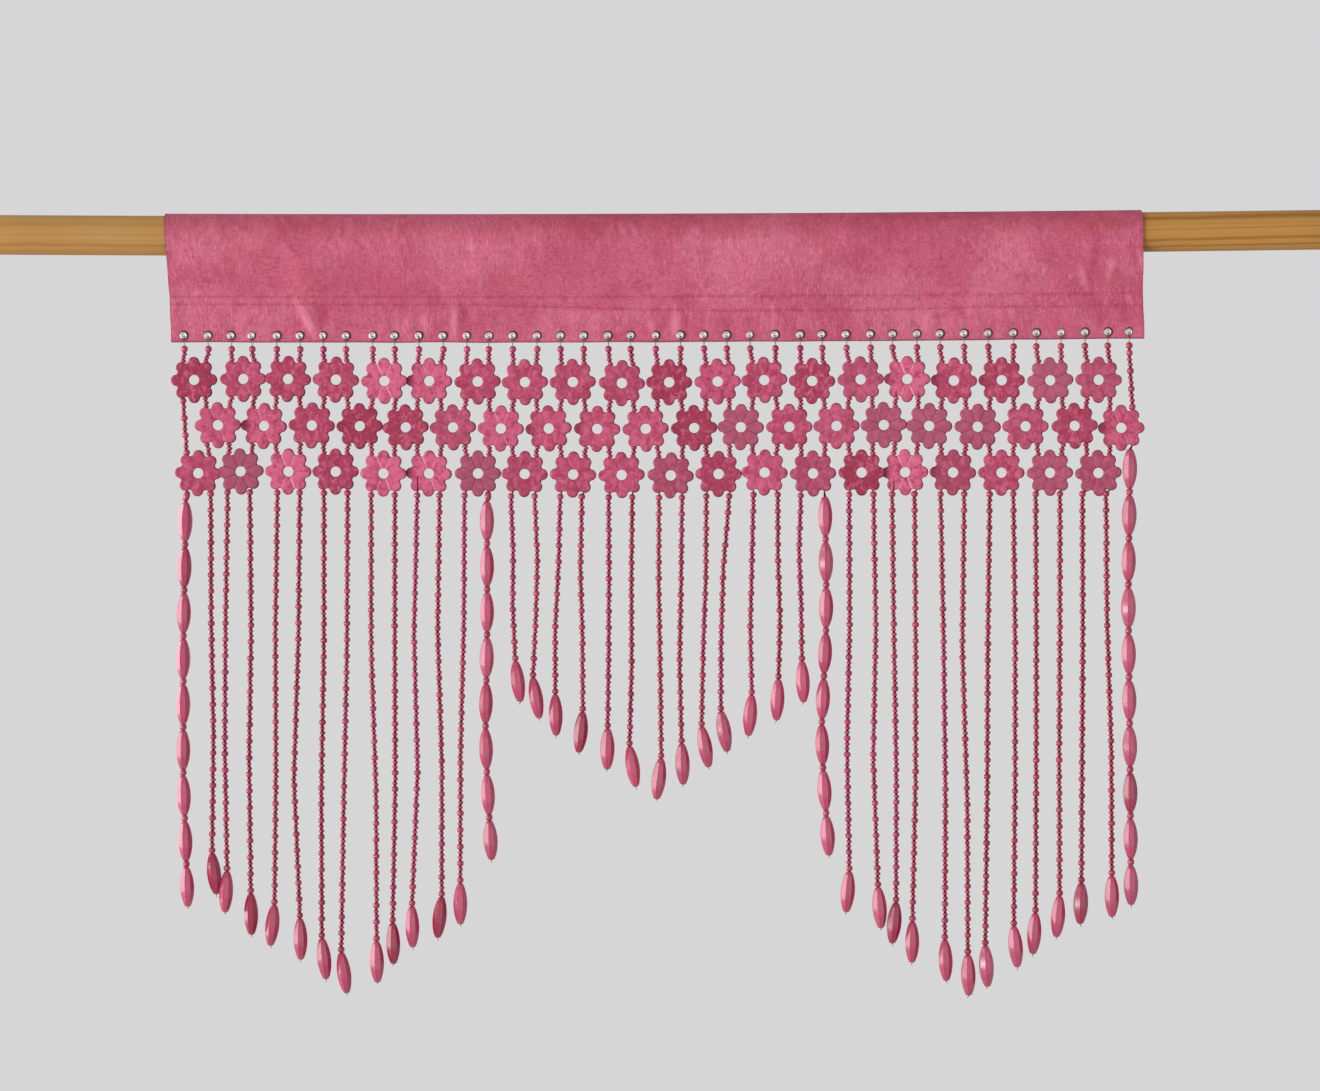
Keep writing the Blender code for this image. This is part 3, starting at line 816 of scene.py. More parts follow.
def cord_finish():
    """Thin waxed cord, painted in shade where it lies on the hem, and pale below it."""
    finish = Finish("waxed_cord", specular=0.4)
    twist = finish.noise(1900, 2.0, (1, 1, 0.4))
    # Painted shade where the cord lies on the hem
    hem_shade = (above_axis(finish) + BAND_DROP).between(-0.0006, 0.0008)
    colour = finish.blend(twist, (0.30, 0.20, 0.15), (0.58, 0.46, 0.38))
    colour = finish.blend(hem_shade * 0.9, colour, (0.120, 0.055, 0.052))
    return finish.done(colour, 0.55 + twist * 0.2, twist, 0.4, 0.0002)


def core_finish():
    """The dyed cord inside the beads, which shows between them, dark enough to stand in for the shade
    there too.
    """
    finish = Finish("dyed_cord_and_shade", specular=0.05)
    twist = finish.noise(1500, 2.0, (1, 1, 0.4))
    # Dark enough to stand in for the shade between the beads
    colour = finish.blend(twist, (0.090, 0.001, 0.014), (0.180, 0.002, 0.030))
    return finish.done(colour, 0.75 + twist * 0.15)


def steel_finish():
    """Nickel tinted pink as a painted reflection of the cloth, with painted shade and dark reflection over
    its face, more at the right, the top and round its outer edge, and a brighter inner lip.
    """
    finish = Finish("bright_steel", metallic=1.0)
    rim = finish.attribute("rim")
    cloud = finish.noise(700, 2.0)
    # Tinted pink as a painted reflection of the cloth
    colour = finish.blend(cloud.between(0.35, 0.75), (1.0, 0.87, 0.88), (0.95, 0.79, 0.80))
    # Painted shade and dark reflection where the rim attribute is high
    return finish.done(finish.blend(rim, colour, (0.060, 0.030, 0.028)), 0.48 + cloud * 0.20)


def bead_finish(name, coat):
    """Glossy moulded rose plastic, deeper or paler from bead to bead."""
    finish = Finish(name, specular=0.5, coat=coat, coat_roughness=0.16)
    tone = finish.attribute("tone")
    cloud = finish.noise(150, 3.0, (1, 1, 1), 0.6, 0.6)
    colour = finish.blend(tone, (0.325, 0.002, 0.038), (0.75, 0.116, 0.245))
    colour = finish.blend(cloud.between(0.4, 0.75) * 0.35, colour, (0.36, 0.036, 0.105))
    return finish.done(colour, 0.16 + cloud * 0.14, finish.noise(800, 2.0), 0.10, 0.0002)


def flower_finish():
    """Moulded plastic brushed outwards from the middle, with grooves that show light or dark."""
    finish = Finish("rose_flower_plastic", specular=0.35)
    labels = ("tone", "dusk", "seam", "shade", "rim", "around", "out")
    tone, dusk, seam, shade, rim, around, out = (finish.attribute(label) for label in labels)
    polar = finish.node("ShaderNodeCombineXYZ", sockets={"X": around, "Y": out, "Z": tone * 40})
    streaks = finish.noise(1.0, 3.0, rough=0.65, over=polar.outputs["Vector"])
    cloud = finish.noise(75, 4.0, (1, 1, 1), 0.65, 0.8)
    mottle = finish.noise(230, 4.0, (1, 1, 0.8), 0.7, 0.6)
    colour = finish.layered(
        (0.315, 0.014, 0.060),
        (tone, (0.760, 0.140, 0.280)),
        (cloud.between(0.40, 0.70) * 0.50, (0.43, 0.046, 0.100)),
        (mottle.between(0.48, 0.66) * 0.80, (0.37, 0.024, 0.068)),
        ((1 - mottle).between(0.48, 0.66) * 0.72, (0.73, 0.146, 0.262)),
        (streaks.between(0.52, 0.76) * 0.35, (0.66, 0.135, 0.245)),
        ((1 - streaks).between(0.52, 0.76) * 0.40, (0.30, 0.024, 0.066)),
        (dusk * (0.40 + cloud * 0.4), (0.375, 0.095, 0.155)),
        # Painted shade along the outline and round the hole, deepest at the lower right
        (rim, (0.125, 0.016, 0.032)),
        # Painted shadow on the tucked left petals
        (shade, (0.165, 0.002, 0.018)),
        # Painted highlight in the upright grooves of shining flowers
        (seam.between(0.0, 0.7), (1.0, 0.52, 0.64)),
        ((0 - seam).between(0.0, 1.0), (0.17, 0.015, 0.042)),
    )
    return finish.done(colour, 0.36 + cloud * 0.16, streaks + cloud, 0.16, 0.0003)


def knot_finish():
    finish = Finish("burnt_knot", specular=0.3)
    cloud = finish.noise(900, 2.0)
    colour = finish.blend(cloud, (0.12, 0.055, 0.035), (0.38, 0.24, 0.13))
    return finish.done(colour, 0.6 + cloud * 0.2)


# The pole


def make_pole():
    bm = bmesh.new()
    add_rod(bm, POLE_R, POLE_LENGTH, POLE_SIDES, (POLE_LENGTH / 2, 0, 0), "Y")
    rims = [edge for edge in bm.edges if len({len(face.verts) > 4 for face in edge.link_faces}) == 2]
    bmesh.ops.bevel(
        bm, geom=rims, offset=POLE_EASE, segments=3, profile=0.5, affect="EDGES", material=-1
    )
    for k in range(1, POLE_BAYS):
        everything = bm.verts[:] + bm.edges[:] + bm.faces[:]
        place = Vector((POLE_LENGTH * k / POLE_BAYS, 0, 0))
        bmesh.ops.bisect_plane(bm, geom=everything, plane_co=place, plane_no=(1, 0, 0))
    for vert in bm.verts:
        vert.co.z += axis_z(vert.co.x)
    add_piece("dowel", finish_mesh(bm, "dowel", 40), pine_finish(), "pine", "pole")


# The band


def half_outline():
    """The cloth's outer outline as (y, z), from the top of the fold to the lower edge."""
    radius = POLE_R + GAP + HALF_HEM
    to_foot = math.hypot(HALF_HEM, SEAM_DROP)
    leave = math.pi / 2 + math.atan2(HALF_HEM, SEAM_DROP) + math.pi - math.acos(radius / to_foot)
    fold, pocket, hem, edge = OUTLINE_STEPS
    outline = []
    for k in range(fold + 1):
        angle = math.pi / 2 + (leave - math.pi / 2) * k / fold
        outline.append(Vector((radius * math.cos(angle), radius * math.sin(angle))))
    last, foot = outline[-1], Vector((-HALF_HEM, -SEAM_DROP))
    outward = (foot - last).orthogonal().normalized()
    outward *= -math.copysign(1, outward.x)
    for k in range(1, pocket + 1):
        share = k / pocket
        belly = POCKET_BELLY * math.sin(math.pi * share) ** BELLY_POWER
        outline.append(last.lerp(foot, share) + outward * belly)
    corner = Vector((-HALF_HEM, -BAND_DROP + HALF_HEM))
    outline += [foot.lerp(corner, k / hem) for k in range(1, hem + 1)]
    for k in range(1, edge + 1):
        angle = math.pi + math.pi / 2 * k / edge
        outline.append(Vector((HALF_HEM * math.cos(angle), corner.y + HALF_HEM * math.sin(angle))))
    return outline


class Outline:
    """The outline measured along the cloth."""

    def __init__(self):
        self.places = half_outline()
        self.reach = [0.0]
        for a, b in zip(self.places, self.places[1:]):
            self.reach.append(self.reach[-1] + (b - a).length)
        self.length = self.reach[-1]

    def at(self, distance):
        distance = min(max(distance, 0.0), self.length)
        k = bisect_left(self.reach, distance, 1)
        share = (distance - self.reach[k - 1]) / (self.reach[k] - self.reach[k - 1])
        return self.places[k - 1].lerp(self.places[k], share)

    def distance_to(self, drop):
        """How far down the cloth a drop lies, below the pole."""
        for k in range(len(self.places) // 3, len(self.places)):
            if -self.places[k].y >= drop:
                share = (drop + self.places[k - 1].y) / (self.places[k - 1].y - self.places[k].y)
                return self.reach[k - 1] + share * (self.reach[k] - self.reach[k - 1])
        return self.length


def spaced(length, close, coarse, fine, reach):
    """Places from 0 to length, closer together near some of them."""
    places = [0.0]
    while places[-1] < length:
        here = places[-1]
        near = min(abs(here - mark) for mark in close)
        share = smooth_step((near - reach) / (2 * reach))
        places.append(here + fine + (coarse - fine) * share)
    scale = length / places[-1]
    return [place * scale for place in places]


def crease_height(x, drop, wider=1.0):
    """Creases of the front, in metres outwards."""
    out = 0.0
    for crease in CREASES:
        dx = x - BAND_LEFT - crease.place * MM
        dz = drop - crease.drop * MM
        lean = math.radians(crease.lean)
        across = dx * math.cos(lean) - dz * math.sin(lean)
        along = dx * math.sin(lean) + dz * math.cos(lean)
        half_width = crease.half_width * MM * wider
        if abs(across) <= CREASE_REACH * half_width:
            ridge = bell(across / half_width) * bell(2 * along / (crease.length * MM))
            out += crease.height * MM * ridge
    return out


def pocket_fold(x, drop):
    share = drop / SEAM_DROP
    out = 0.0
    for fold in FOLDS:
        centre = BAND_LEFT + fold.place * MM + fold.slant * MM * (share - 0.5)
        out += fold.out * MM * bell((x - centre) / (fold.half_width * MM))
    return out * smooth_step(FOLD_FADE * share) * smooth_step(FOLD_FADE * (1 - share))


def rippled(rows, x, drop, seed):
    return sum(
        row.out * rough_noise(x * row.along, drop * row.down, row.pattern, seed) for row in rows
    )


def relief(x, drop, front):
    """How far the cloth stands out from its plain outline at a place."""
    seed = 0.0 if front else BACK_SEED
    out = 0.0
    for seam in (SEAM_DROP, second_seam(x)):
        off = drop - seam
        out -= SEAM_SUNK * bell(off / SEAM_SUNK_HALF)
        pucker = math.sin(math.tau * x / PUCKER_LENGTH + 5 * rough_noise(x * 40, seam * 90, 0, seed))
        size = 0.5 + rough_noise(x * 60, 3.1, seam * 50, seed)
        out += PUCKER * size * pucker * bell(off / PUCKER_HALF)
    hem = smooth_step((drop - SECOND_SEAM_DROP) / PANEL_EASE)
    pull = math.cos(math.tau * (x - FIRST_STRING) / STRING_PITCH)
    out -= STRING_PULL * hem * pull * (0.6 + rough_noise(x * 20, 5.5, 0.0, seed))
    pocket = smooth_step(drop / PANEL_EASE) * smooth_step((SEAM_DROP - drop) / PANEL_EASE)
    out += hem * rippled(HEM_RIPPLES, x, drop, seed) + pocket * rippled(POCKET_RIPPLES, x, drop, seed)
    if front:
        out += pocket_fold(x, drop) + crease_height(x, drop)
    if out < 0:
        out = DEEPEST * math.tanh(out / DEEPEST)
    side = min(x - BAND_LEFT, BAND_LEFT + BAND_WIDTH - x)
    return out + SIDE_PROUD * smooth_step((SIDE_HEM - side) / SIDE_EASE)


def band_place(outline, x, distance):
    """The place in space of a point of the cloth, distance down its front, or back if below 0."""
    front = distance >= 0
    down = abs(distance)
    flat = outline.at(down)
    run = (outline.at(down + NEARBY) - outline.at(down - NEARBY)).normalized()
    outward = Vector((run.y, -run.x))
    if outward.x > 0:
        outward = -outward
    drop = -flat.y
    calm = smooth_step(down / CALM_TOP) * smooth_step((outline.length - down) / CALM_FOOT)
    flat = flat + outward * relief(x, drop, front) * calm
    y = flat.x if front else -flat.x
    hung = smooth_step(drop / SEAM_DROP)
    edge = smooth_step((drop - SECOND_SEAM_DROP) / (BAND_DROP - SECOND_SEAM_DROP))
    z = flat.y + axis_z(x) + EDGE_WANDER * edge * rough_noise(x * 28, 9.0, 0.0)
    lean = BAND_LEAN * max(0.0, drop) / BAND_DROP
    sides = EDGE_WANDER * rough_noise(drop * 60, 2.0, 0.0)
    at_left = smooth_step(1 - (x - BAND_LEFT) / SPLAY_WIDTH)
    splay = SPLAY * at_left * smooth_step((SPLAY_FROM - drop) / SPLAY_OVER)
    return Vector((x + lean + sides - splay, y + hem_y(x) * hung, z))


def bent_row(distance, x, first, second):
    """A row of the grid, moved so that the rows near the second line of stitches follow it."""
    down = abs(distance)
    if down <= second:
        share = smooth_step((down - first) / (second - first))
    else:
        share = 1 - smooth_step((down - second) / ROW_RETURN)
    return math.copysign(down + share * (second_seam(x) - SECOND_SEAM_DROP), distance)


def paint_cloth(vert, layers, x, distance, outline, seams):
    """What the finish reads: painted shade along the cloth's edges and its fold, the creases of its front
    for their painted highlight and shade, its seams.
    """
    down = abs(distance)
    side = min(x - BAND_LEFT, BAND_LEFT + BAND_WIDTH - x)
    foot = outline.length - down
    top = TOP_DARK + (1 - TOP_DARK) * smooth_step(down / TOP_FADE)
    # Painted shade along the lower edge and, less, the side edges
    vert[layers["edge"]] = max(bell(foot / EDGE_FADE), SIDE_DARK * bell(side / SIDE_FADE))
    # Painted shade over the fold, less at its very top
    vert[layers["fold"]] = top * (1 - smooth_step((down - FOLD_DARK_TO) / FOLD_DARK_FADE))
    vert[layers["seams"]] = max(bell((down - seam) / SEAM_FADE) for seam in seams)
    # Crease heights, for the painted highlight and shade of the front's creases
    if distance > 0:
        vert[layers["crest"]] = crease_height(x, -outline.at(distance).y, CREST_WIDER) / MM


def make_band():
    outline = Outline()
    first = outline.distance_to(SEAM_DROP)
    seams = (first, first + SECOND_SEAM_DROP - SEAM_DROP)
    close = (*seams, outline.length)
    front, back = (spaced(outline.length, close, *steps) for steps in (FRONT_GRID, BACK_GRID))
    rows = [-place for place in reversed(back)] + front[1:]
    columns = spaced(BAND_WIDTH, (0.0, SIDE_HEM, BAND_WIDTH - SIDE_HEM, BAND_WIDTH), *COLUMN_GRID)
    last_column, last_row = len(columns) - 1, len(rows) - 1
    bm = bmesh.new()
    bmesh.ops.create_grid(bm, x_segments=last_column, y_segments=last_row, size=0.5)
    layers = {label: bm.verts.layers.float.new(label) for label in CLOTH_PAINT}
    for vert in bm.verts:
        x = BAND_LEFT + columns[round((vert.co.x + 0.5) * last_column)]
        distance = rows[round((vert.co.y + 0.5) * last_row)]
        vert.co = band_place(outline, x, bent_row(distance, x, *seams))
        paint_cloth(vert, layers, x, distance, outline, seams)
    bmesh.ops.remove_doubles(bm, verts=bm.verts, dist=MERGE)
    bmesh.ops.recalc_face_normals(bm, faces=bm.faces)
    shell = loose_object("band_shell", plain_mesh(bm, "band_shell"))
    solid = shell.modifiers.new("cloth", "SOLIDIFY")
    solid.thickness = WEIGHT
    solid.offset = -1
    punches = eyelet_punches()
    cut = shell.modifiers.new("eyelet holes", "BOOLEAN")
    cut.operation = "DIFFERENCE"
    cut.solver = "EXACT"
    cut.object = punches
    mesh = evaluated_copy(shell, "band")
    bpy.data.objects.remove(punches, do_unlink=True)
    mesh.shade_smooth()
    mesh.set_sharp_from_angle(angle=math.radians(60))
    return add_piece("band_cloth", mesh, cotton_finish(), "rose_cotton", "band"), outline


def eyelet_punches():
    bm = bmesh.new()
    for number in range(1, STRING_COUNT + 1):
        add_rod(bm, EYELET_BARREL_R + GAP / 2, PUNCH_DEPTH, 20, eyelet_place(number), "X")
    return loose_object("punches", finish_mesh(bm, "punches"))


def make_stitches(outline):
    """Two rows of lock stitches on each face, each stitch a small round-ended rod."""
    draw = random.Random(11)
    bm = bmesh.new()
    bmesh.ops.create_uvsphere(bm, u_segments=6, v_segments=4, radius=1.0)
    bmesh.ops.transform(bm, matrix=Matrix.Rotation(math.pi / 2, 4, "Y"), verts=bm.verts)
    stitch = finish_mesh(bm, "stitch")
    places = []
    first = outline.distance_to(SEAM_DROP)
    for line in (0, 1):
        x = BAND_LEFT + STITCH_START + line * STITCH_SHIFT
        while x < BAND_LEFT + BAND_WIDTH - STITCH_STOP:
            down = first + line * (second_seam(x) - SEAM_DROP)
            for side in (1, -1):
                wander = STITCH_ASIDE * draw.uniform(-1, 1)
                wander += LINE_WANDER * rough_noise(x * 12, line * 3.9, side)
                seat = band_place(outline, x, side * (down + wander))
                seat.y -= side * STITCH_PROUD
                tilt = Matrix.Rotation(draw.uniform(-STITCH_TILT, STITCH_TILT), 4, "Y")
                half = STITCH_HALF + draw.uniform(-STITCH_UNEVEN, STITCH_UNEVEN)
                size = Matrix.Diagonal((half, STITCH_R, STITCH_R, 1))
                places.append(("stitch", Matrix.Translation(seat) @ tilt @ size))
            x += STITCH_PITCH
    mesh = joined_copies("stitches", {"stitch": stitch}, places)
    mesh.shade_smooth()
    return add_piece("band_stitches", mesh, stitch_finish(), "rose_cotton")


# The eyelets


def eyelet_shape():
    """A barrel with a rolled rim on each face, turned about Y, with painted shade and dark reflection on
    it and its inner lip left bright.
    """
    front = [(radius, -HALF_HEM - out, 0) for radius, out in EYELET_RIM]
    back = [(radius, HALF_HEM + out, 0) for radius, out in reversed(EYELET_RIM)]
    bm = spun_profile(front + back, (0, 1, 0), EYELET_STEPS, closed=True)
    layer = bm.verts.layers.float.new("rim")
    for vert in bm.verts:
        radius = math.hypot(vert.co.x, vert.co.z)
        rightward, upper = vert.co.x / radius, vert.co.z / radius
        # The lip is left bright; past it, painted shade and dark reflection, more at the right, the top
        # and the outer edge
        past_lip = smooth_step((radius - EYELET_LIP_R) / LIP_FADE)
        at_edge = smooth_step((radius - EYELET_R + EDGE_SHADE_WIDTH) / EDGE_SHADE_FADE)
        ring_shade = FACE_DARK_REFLECTION + RIGHT_TOP_SHADE * (rightward + upper)
        ring_shade += EDGE_SHADE * at_edge * (0.85 + 0.15 * rightward)
        vert[layer] = clamped(LIP_SHADE + (ring_shade - LIP_SHADE) * past_lip)
    return finish_mesh(bm, "eyelet", 55)


def make_eyelets():
    draw = random.Random(5)
    places = []
    for number in range(1, STRING_COUNT + 1):
        place = Matrix.Translation(eyelet_place(number))
        for axis in "XZ":
            tilt = math.radians(draw.uniform(-EYELET_TILT, EYELET_TILT))
            place = place @ Matrix.Rotation(tilt, 4, axis)
        places.append(("eyelet", place))
    mesh = joined_copies("eyelets", {"eyelet": eyelet_shape()}, places)
    names = [f"eyelet_{number:02d}" for number in range(1, STRING_COUNT + 1)]
    return add_piece("eyelet_rings", mesh, steel_finish(), "bright_steel", *names)


# The bead strings


def round_bead(name, segments, rings, fullness=1.0):
    """A bead of radius and half height 1, a ball, or more like a barrel where fullness is below 1."""
    bm = bmesh.new()
    bmesh.ops.create_uvsphere(bm, u_segments=segments, v_segments=rings, radius=1.0)
    for vert in bm.verts:
        out = math.hypot(vert.co.x, vert.co.y)
        if 0.001 < out < 0.999:
            swell = out ** (fullness - 1)
            vert.co.x *= swell
            vert.co.y *= swell
    return finish_mesh(bm, name)


def oval_shape():
    """A long bead one unit long, hanging from the origin, with flat facets along it."""
    section = [(0, 0, 0)]
    for k in range(OVAL_RINGS + 1):
        share = k / OVAL_RINGS
        swell = math.sin(math.pi * (OVAL_BLUNT + (1 - 2 * OVAL_BLUNT) * share)) ** OVAL_POWER
        section.append((OVAL_END_R * (1 - swell) + OVAL_R * swell, 0, -share))
    section.append((0, 0, -1))
    bm = spun_profile(section, (0, 0, 1), OVAL_FACETS, closed=False)
    for edge in bm.edges:
        edge.smooth = abs(edge.verts[0].co.z - edge.verts[1].co.z) < OVAL_LEVEL
    return finish_mesh(bm, "oval")


def lattice_stops(number):
    """Where a string meets flowers, as (upper, lower) places of each channel."""
    stops = []
    for row in FLOWER_ROWS:
        index, side = divmod(number - row.first_string, 2)
        if 0 <= index < len(row.aside):
            place = flower_place(row, index)
            x = place.x + (FLOWER_CHANNEL if side else -FLOWER_CHANNEL)
            stops.append([Vector((x, 0, place.z + up)) for up in (CHANNEL_REACH, -CHANNEL_REACH)])
    return stops


def free_point(number, share, drop):
    """A place on the free part of a string, share of the way down it."""
    row = STRINGS[number - 1]
    places = (row.top, row.upper, row.lower, row.end)
    at = min(share * (len(places) - 1), len(places) - 1)
    low = min(int(at), len(places) - 2)
    aside = places[low] + (at - low) * (places[low + 1] - places[low])
    x = string_line(number) + aside * MM
    return Vector((x, 0, axis_z(x) - drop))


Bead = namedtuple("Bead", "kind place radius rise")


def bead_kinds(length):
    """The beads that fill a length: seeds alone, or rounds with two seeds after each."""
    if length < SHORT_RUN:
        return ["seed"] * max(1, round(length / SHORT_SEED_PITCH))
    groups = max(1, round((length - 2 * ROUND_R) / GROUP_PITCH))
    return ["round", "seed", "seed"] * groups + ["round"]


def threaded_beads(kinds, length, place_at, draw):
    """Beads that touch each other along a line, place_at(distance) being its places."""
    seed_length = (GROUP_PITCH - 2 * ROUND_R) / 2
    alone = "round" not in kinds
    sizes = [2 * ROUND_R if kind == "round" else seed_length for kind in kinds]
    scale = length / sum(sizes)
    beads = []
    at = 0.0
    side = draw.choice((-1, 1))
    for kind, size in zip(kinds, sizes):
        size *= scale
        place = place_at(at + size / 2)
        at += size
        fill = ROUND_FILL
        radius = ROUND_R * draw.uniform(0.95, 1.06)
        if kind == "seed":
            side = -side
            place.x += side * SEED_SWAY * draw.uniform(0.5, 1.5)
            fill = ROUND_FILL if alone else SEED_FILL
            radius = (SHORT_SEED_R if alone else SEED_R) * draw.uniform(0.93, 1.07)
        beads.append(Bead(kind, place, radius, size / 2 * fill))
    return beads


def fill_run(start, end, draw):
    """Beads along a straight stretch."""
    run = end - start
    length = run.length
    return threaded_beads(
        bead_kinds(length), length, lambda distance: start + run * (distance / length), draw
    )


def free_beads(number, start, end_drop, draw):
    """Beads down the free part, along its bent line."""
    top_drop = -start.z
    length = end_drop - top_drop

    def place_at(distance):
        drop = top_drop + distance
        share = (drop - STRING_TOP_DROP) / (end_drop - STRING_TOP_DROP)
        return free_point(number, max(0.0, share), drop)

    return threaded_beads(bead_kinds(length), length, place_at, draw)


def oval_places(number):
    """Tops and directions of the long beads of a string."""
    row = STRINGS[number - 1]
    if number not in OVAL_STRINGS:
        swing = math.radians(row.swing)
        top = free_point(number, 1.0, row.drop * MM - OVAL_LENGTH)
        return [(top, Vector((math.sin(swing), 0, -math.cos(swing))))]
    count, pitch = OVAL_STRINGS[number]
    first = row.drop * MM - ROW_OVAL_LENGTH - (count - 1) * pitch
    found = []
    for k in range(count):
        drop = first + k * pitch
        top = free_point(number, k / count, drop)
        below = free_point(number, (k + 1) / count, drop + pitch)
        found.append((top, (below - top).normalized()))
    return found


def row_beads(here, tops, length):
    """The small beads above and between the long beads that hang in a row."""
    first = tops[0][0]
    gap = here.z - first.z
    beads = []
    if gap > 2 * BETWEEN_R:
        beads.append(Bead("round", here.lerp(first, 0.5), BETWEEN_R, gap / 2))
    for (upper, down), (lower, _) in zip(tops, tops[1:]):
        foot = upper + down * length
        rise = (foot - lower).length / 2 + OVAL_OVERLAP
        beads.append(Bead("round", foot.lerp(lower, 0.5), BETWEEN_R, rise))
    return beads


def placed_bead(bead, tone, draw):
    size = Matrix.Diagonal((bead.radius, bead.radius, bead.rise, 1))
    turn = Matrix.Rotation(draw.uniform(*BEAD_TURN), 4, "Y")
    shade = clamped(tone + draw.uniform(-BEAD_TONES, BEAD_TONES))
    return bead.kind, Matrix.Translation(bead.place) @ turn @ size, shade


def placed_oval(place, direction, length, deeper, draw):
    aim = Vector((0, 0, -1)).rotation_difference(direction).to_matrix().to_4x4()
    spin = Matrix.Rotation(math.pi / OVAL_FACETS + draw.uniform(*OVAL_SPIN), 4, "Z")
    size = Matrix.Diagonal((1, 1, length, 1))
    shade = draw.uniform(*OVAL_TONES) - (DEEPER if deeper else 0)
    return "oval", Matrix.Translation(place) @ aim @ spin @ size, shade


def hang_string(number, draw):
    """One string, as its placed beads, the cord inside them and the loops in its eyelet."""
    eye = eyelet_place(number)
    edge = eye.z - EYELET_RISE
    tone = draw.uniform(*STRING_TONES)
    hung = eye.x - EYELET_ASIDE + draw.uniform(-HUNG_ASIDE, HUNG_ASIDE)
    top = Vector((hung, 0, edge - TOP_BEAD_DROP))
    beads = [Bead("round", top, TOP_ROUND_R, TOP_ROUND_R)]
    here = top - Vector((0, 0, TOP_ROUND_R))
    core = []
    for above, below in lattice_stops(number):
        beads += fill_run(here, above, draw)
        core += [(above, THREAD_R), (below, THREAD_R)]
        here = below
    tops = oval_places(number)
    if number in OVAL_STRINGS:
        length = ROW_OVAL_LENGTH
        beads += row_beads(here, tops, length)
    else:
        length = OVAL_LENGTH
        first = tops[0][0]
        start = here + Vector((0, 0, FREE_RISE))
        beads += free_beads(number, start, axis_z(first.x) - first.z, draw)
    places = [placed_bead(bead, tone, draw) for bead in beads]
    core += [(bead.place, NECK_R) for bead in beads]
    for count, (place, direction) in enumerate(tops, 1):
        places.append(placed_oval(place, direction, length, (number, count) in DEEP_OVALS, draw))
        core += [(place, NECK_R), (place + direction * length, THREAD_R)]
    core.sort(key=lambda stop: -stop[0].z)
    return places, core, thread_loops(eye, edge, top, draw)


def make_strings():
    draw = random.Random(23)
    places, cores, loops = [], [], []
    for number in range(1, STRING_COUNT + 1):
        beads, core, threads = hang_string(number, draw)
        places += beads
        cores.append(core)
        loops += threads
    shapes = {
        "round": round_bead("round", 10, 7, 0.9),
        "seed": round_bead("seed", 8, 6, 0.75),
        "oval": oval_shape(),
    }
    small = bead_finish("rose_bead_plastic", 0.6)
    long = bead_finish("rose_oval_plastic", 1.0)
    made = []
    for kind, name, plastic, *nodes in (
        ("round", "round_beads", small, "bead_curtain"),
        ("seed", "seed_beads", small),
        ("oval", "long_beads", long),
    ):
        beads = joined_copies(name, shapes, [row for row in places if row[0] == kind], ("tone",))
        made.append(add_piece(name, beads, plastic, "rose_beads", *nodes))
    tips = [core[-1][0] for core in cores]
    return made + [
        add_piece("bead_cores", tube_mesh("bead_cores", cores), core_finish(), "rose_beads"),
        add_piece("eyelet_loops", tube_mesh("eyelet_loops", loops), cord_finish(), "rose_beads"),
        add_piece("end_knots", knot_mesh(tips), knot_finish(), "rose_beads"),
    ]


def thread_loops(eye, edge, top, draw):
    """Cord through an eyelet, round the lower edge and into the first bead, front and back."""
    reach = HALF_HEM + LOOP_CLEAR
    seat = eye.z - EYELET_HOLE_R + LOOP_SEAT
    over = seat - LOOP_SEAT
    into = top + Vector((0, 0, TOP_ROUND_R * 0.6))
    routes = []
    for side in (-1, 1):
        splay = side * draw.uniform(*LOOP_SPLAY)
        routes.append((
            (eye.x + splay, eye.y + reach * 0.4, seat + LOOP_LIFT),
            (eye.x + splay, eye.y - reach * 0.7, seat),
            (eye.x + splay * 1.1, eye.y - reach, over),
            (top.x + splay * 0.8, eye.y * 0.6 - reach * 0.8, edge - LOOP_UNDER),
            into,
        ))
    routes.append((
        (eye.x, eye.y + reach * 0.4, seat + LOOP_LIFT),
        (eye.x, eye.y + reach, over),
        (top.x, eye.y * 0.6 + reach * 0.8, edge - LOOP_UNDER),
        into,
    ))
    return [[(Vector(stop), LOOP_R) for stop in route] for route in routes]


def knot_mesh(tips):
    """A burnt knot and a short end of cord under each last bead."""
    draw = random.Random(31)
    places = []
    for tip in tips:
        knot = Matrix.Translation(tip - Vector((0, 0, KNOT_DROP)))
        places.append(("knot", knot @ Matrix.Diagonal((*KNOT_SIZE, 1))))
        lean = Matrix.Rotation(draw.uniform(-END_LEAN, END_LEAN), 4, "Y")
        size = Matrix.Diagonal((END_R, END_R, draw.uniform(*END_HALF), 1))
        below = Matrix.Translation(tip - Vector((0, 0, KNOT_SIZE[0])))
        places.append(("knot", below @ lean @ Matrix.Translation((0, 0, -END_DROP)) @ size))
    mesh = joined_copies("end_knots", {"knot": round_bead("knot", 8, 6)}, places)
    mesh.shade_smooth()
    return mesh


# The flowers

PETAL_STEPS = (0.0, 1.3, 2.8, 5.2, 9.5, 15.5, 22.5)  # degrees from a groove
FACE_SHARES = (0.0, 0.03, 0.09, 0.35, 0.68, 0.88, 0.945, 0.98, 1.0)
BACK_SHARES = (1.0, 0.95, 0.5, 0.0)
HALF_PETAL = 180 / PETALS
FLOWER_LAYERS = ("groove", "rim", "around", "out", "tone", "dusk", "seam", "shade")


def petal_angle(step):
    """The angle in degrees of one of the steps round a flower, close together at the grooves."""
    half = len(PETAL_STEPS) - 1
    petal, k = divmod(step, 2 * half)
    off = HALF_PETAL - PETAL_STEPS[half - k] if k < half else HALF_PETAL + PETAL_STEPS[k - half]
    return petal * 2 * HALF_PETAL + off


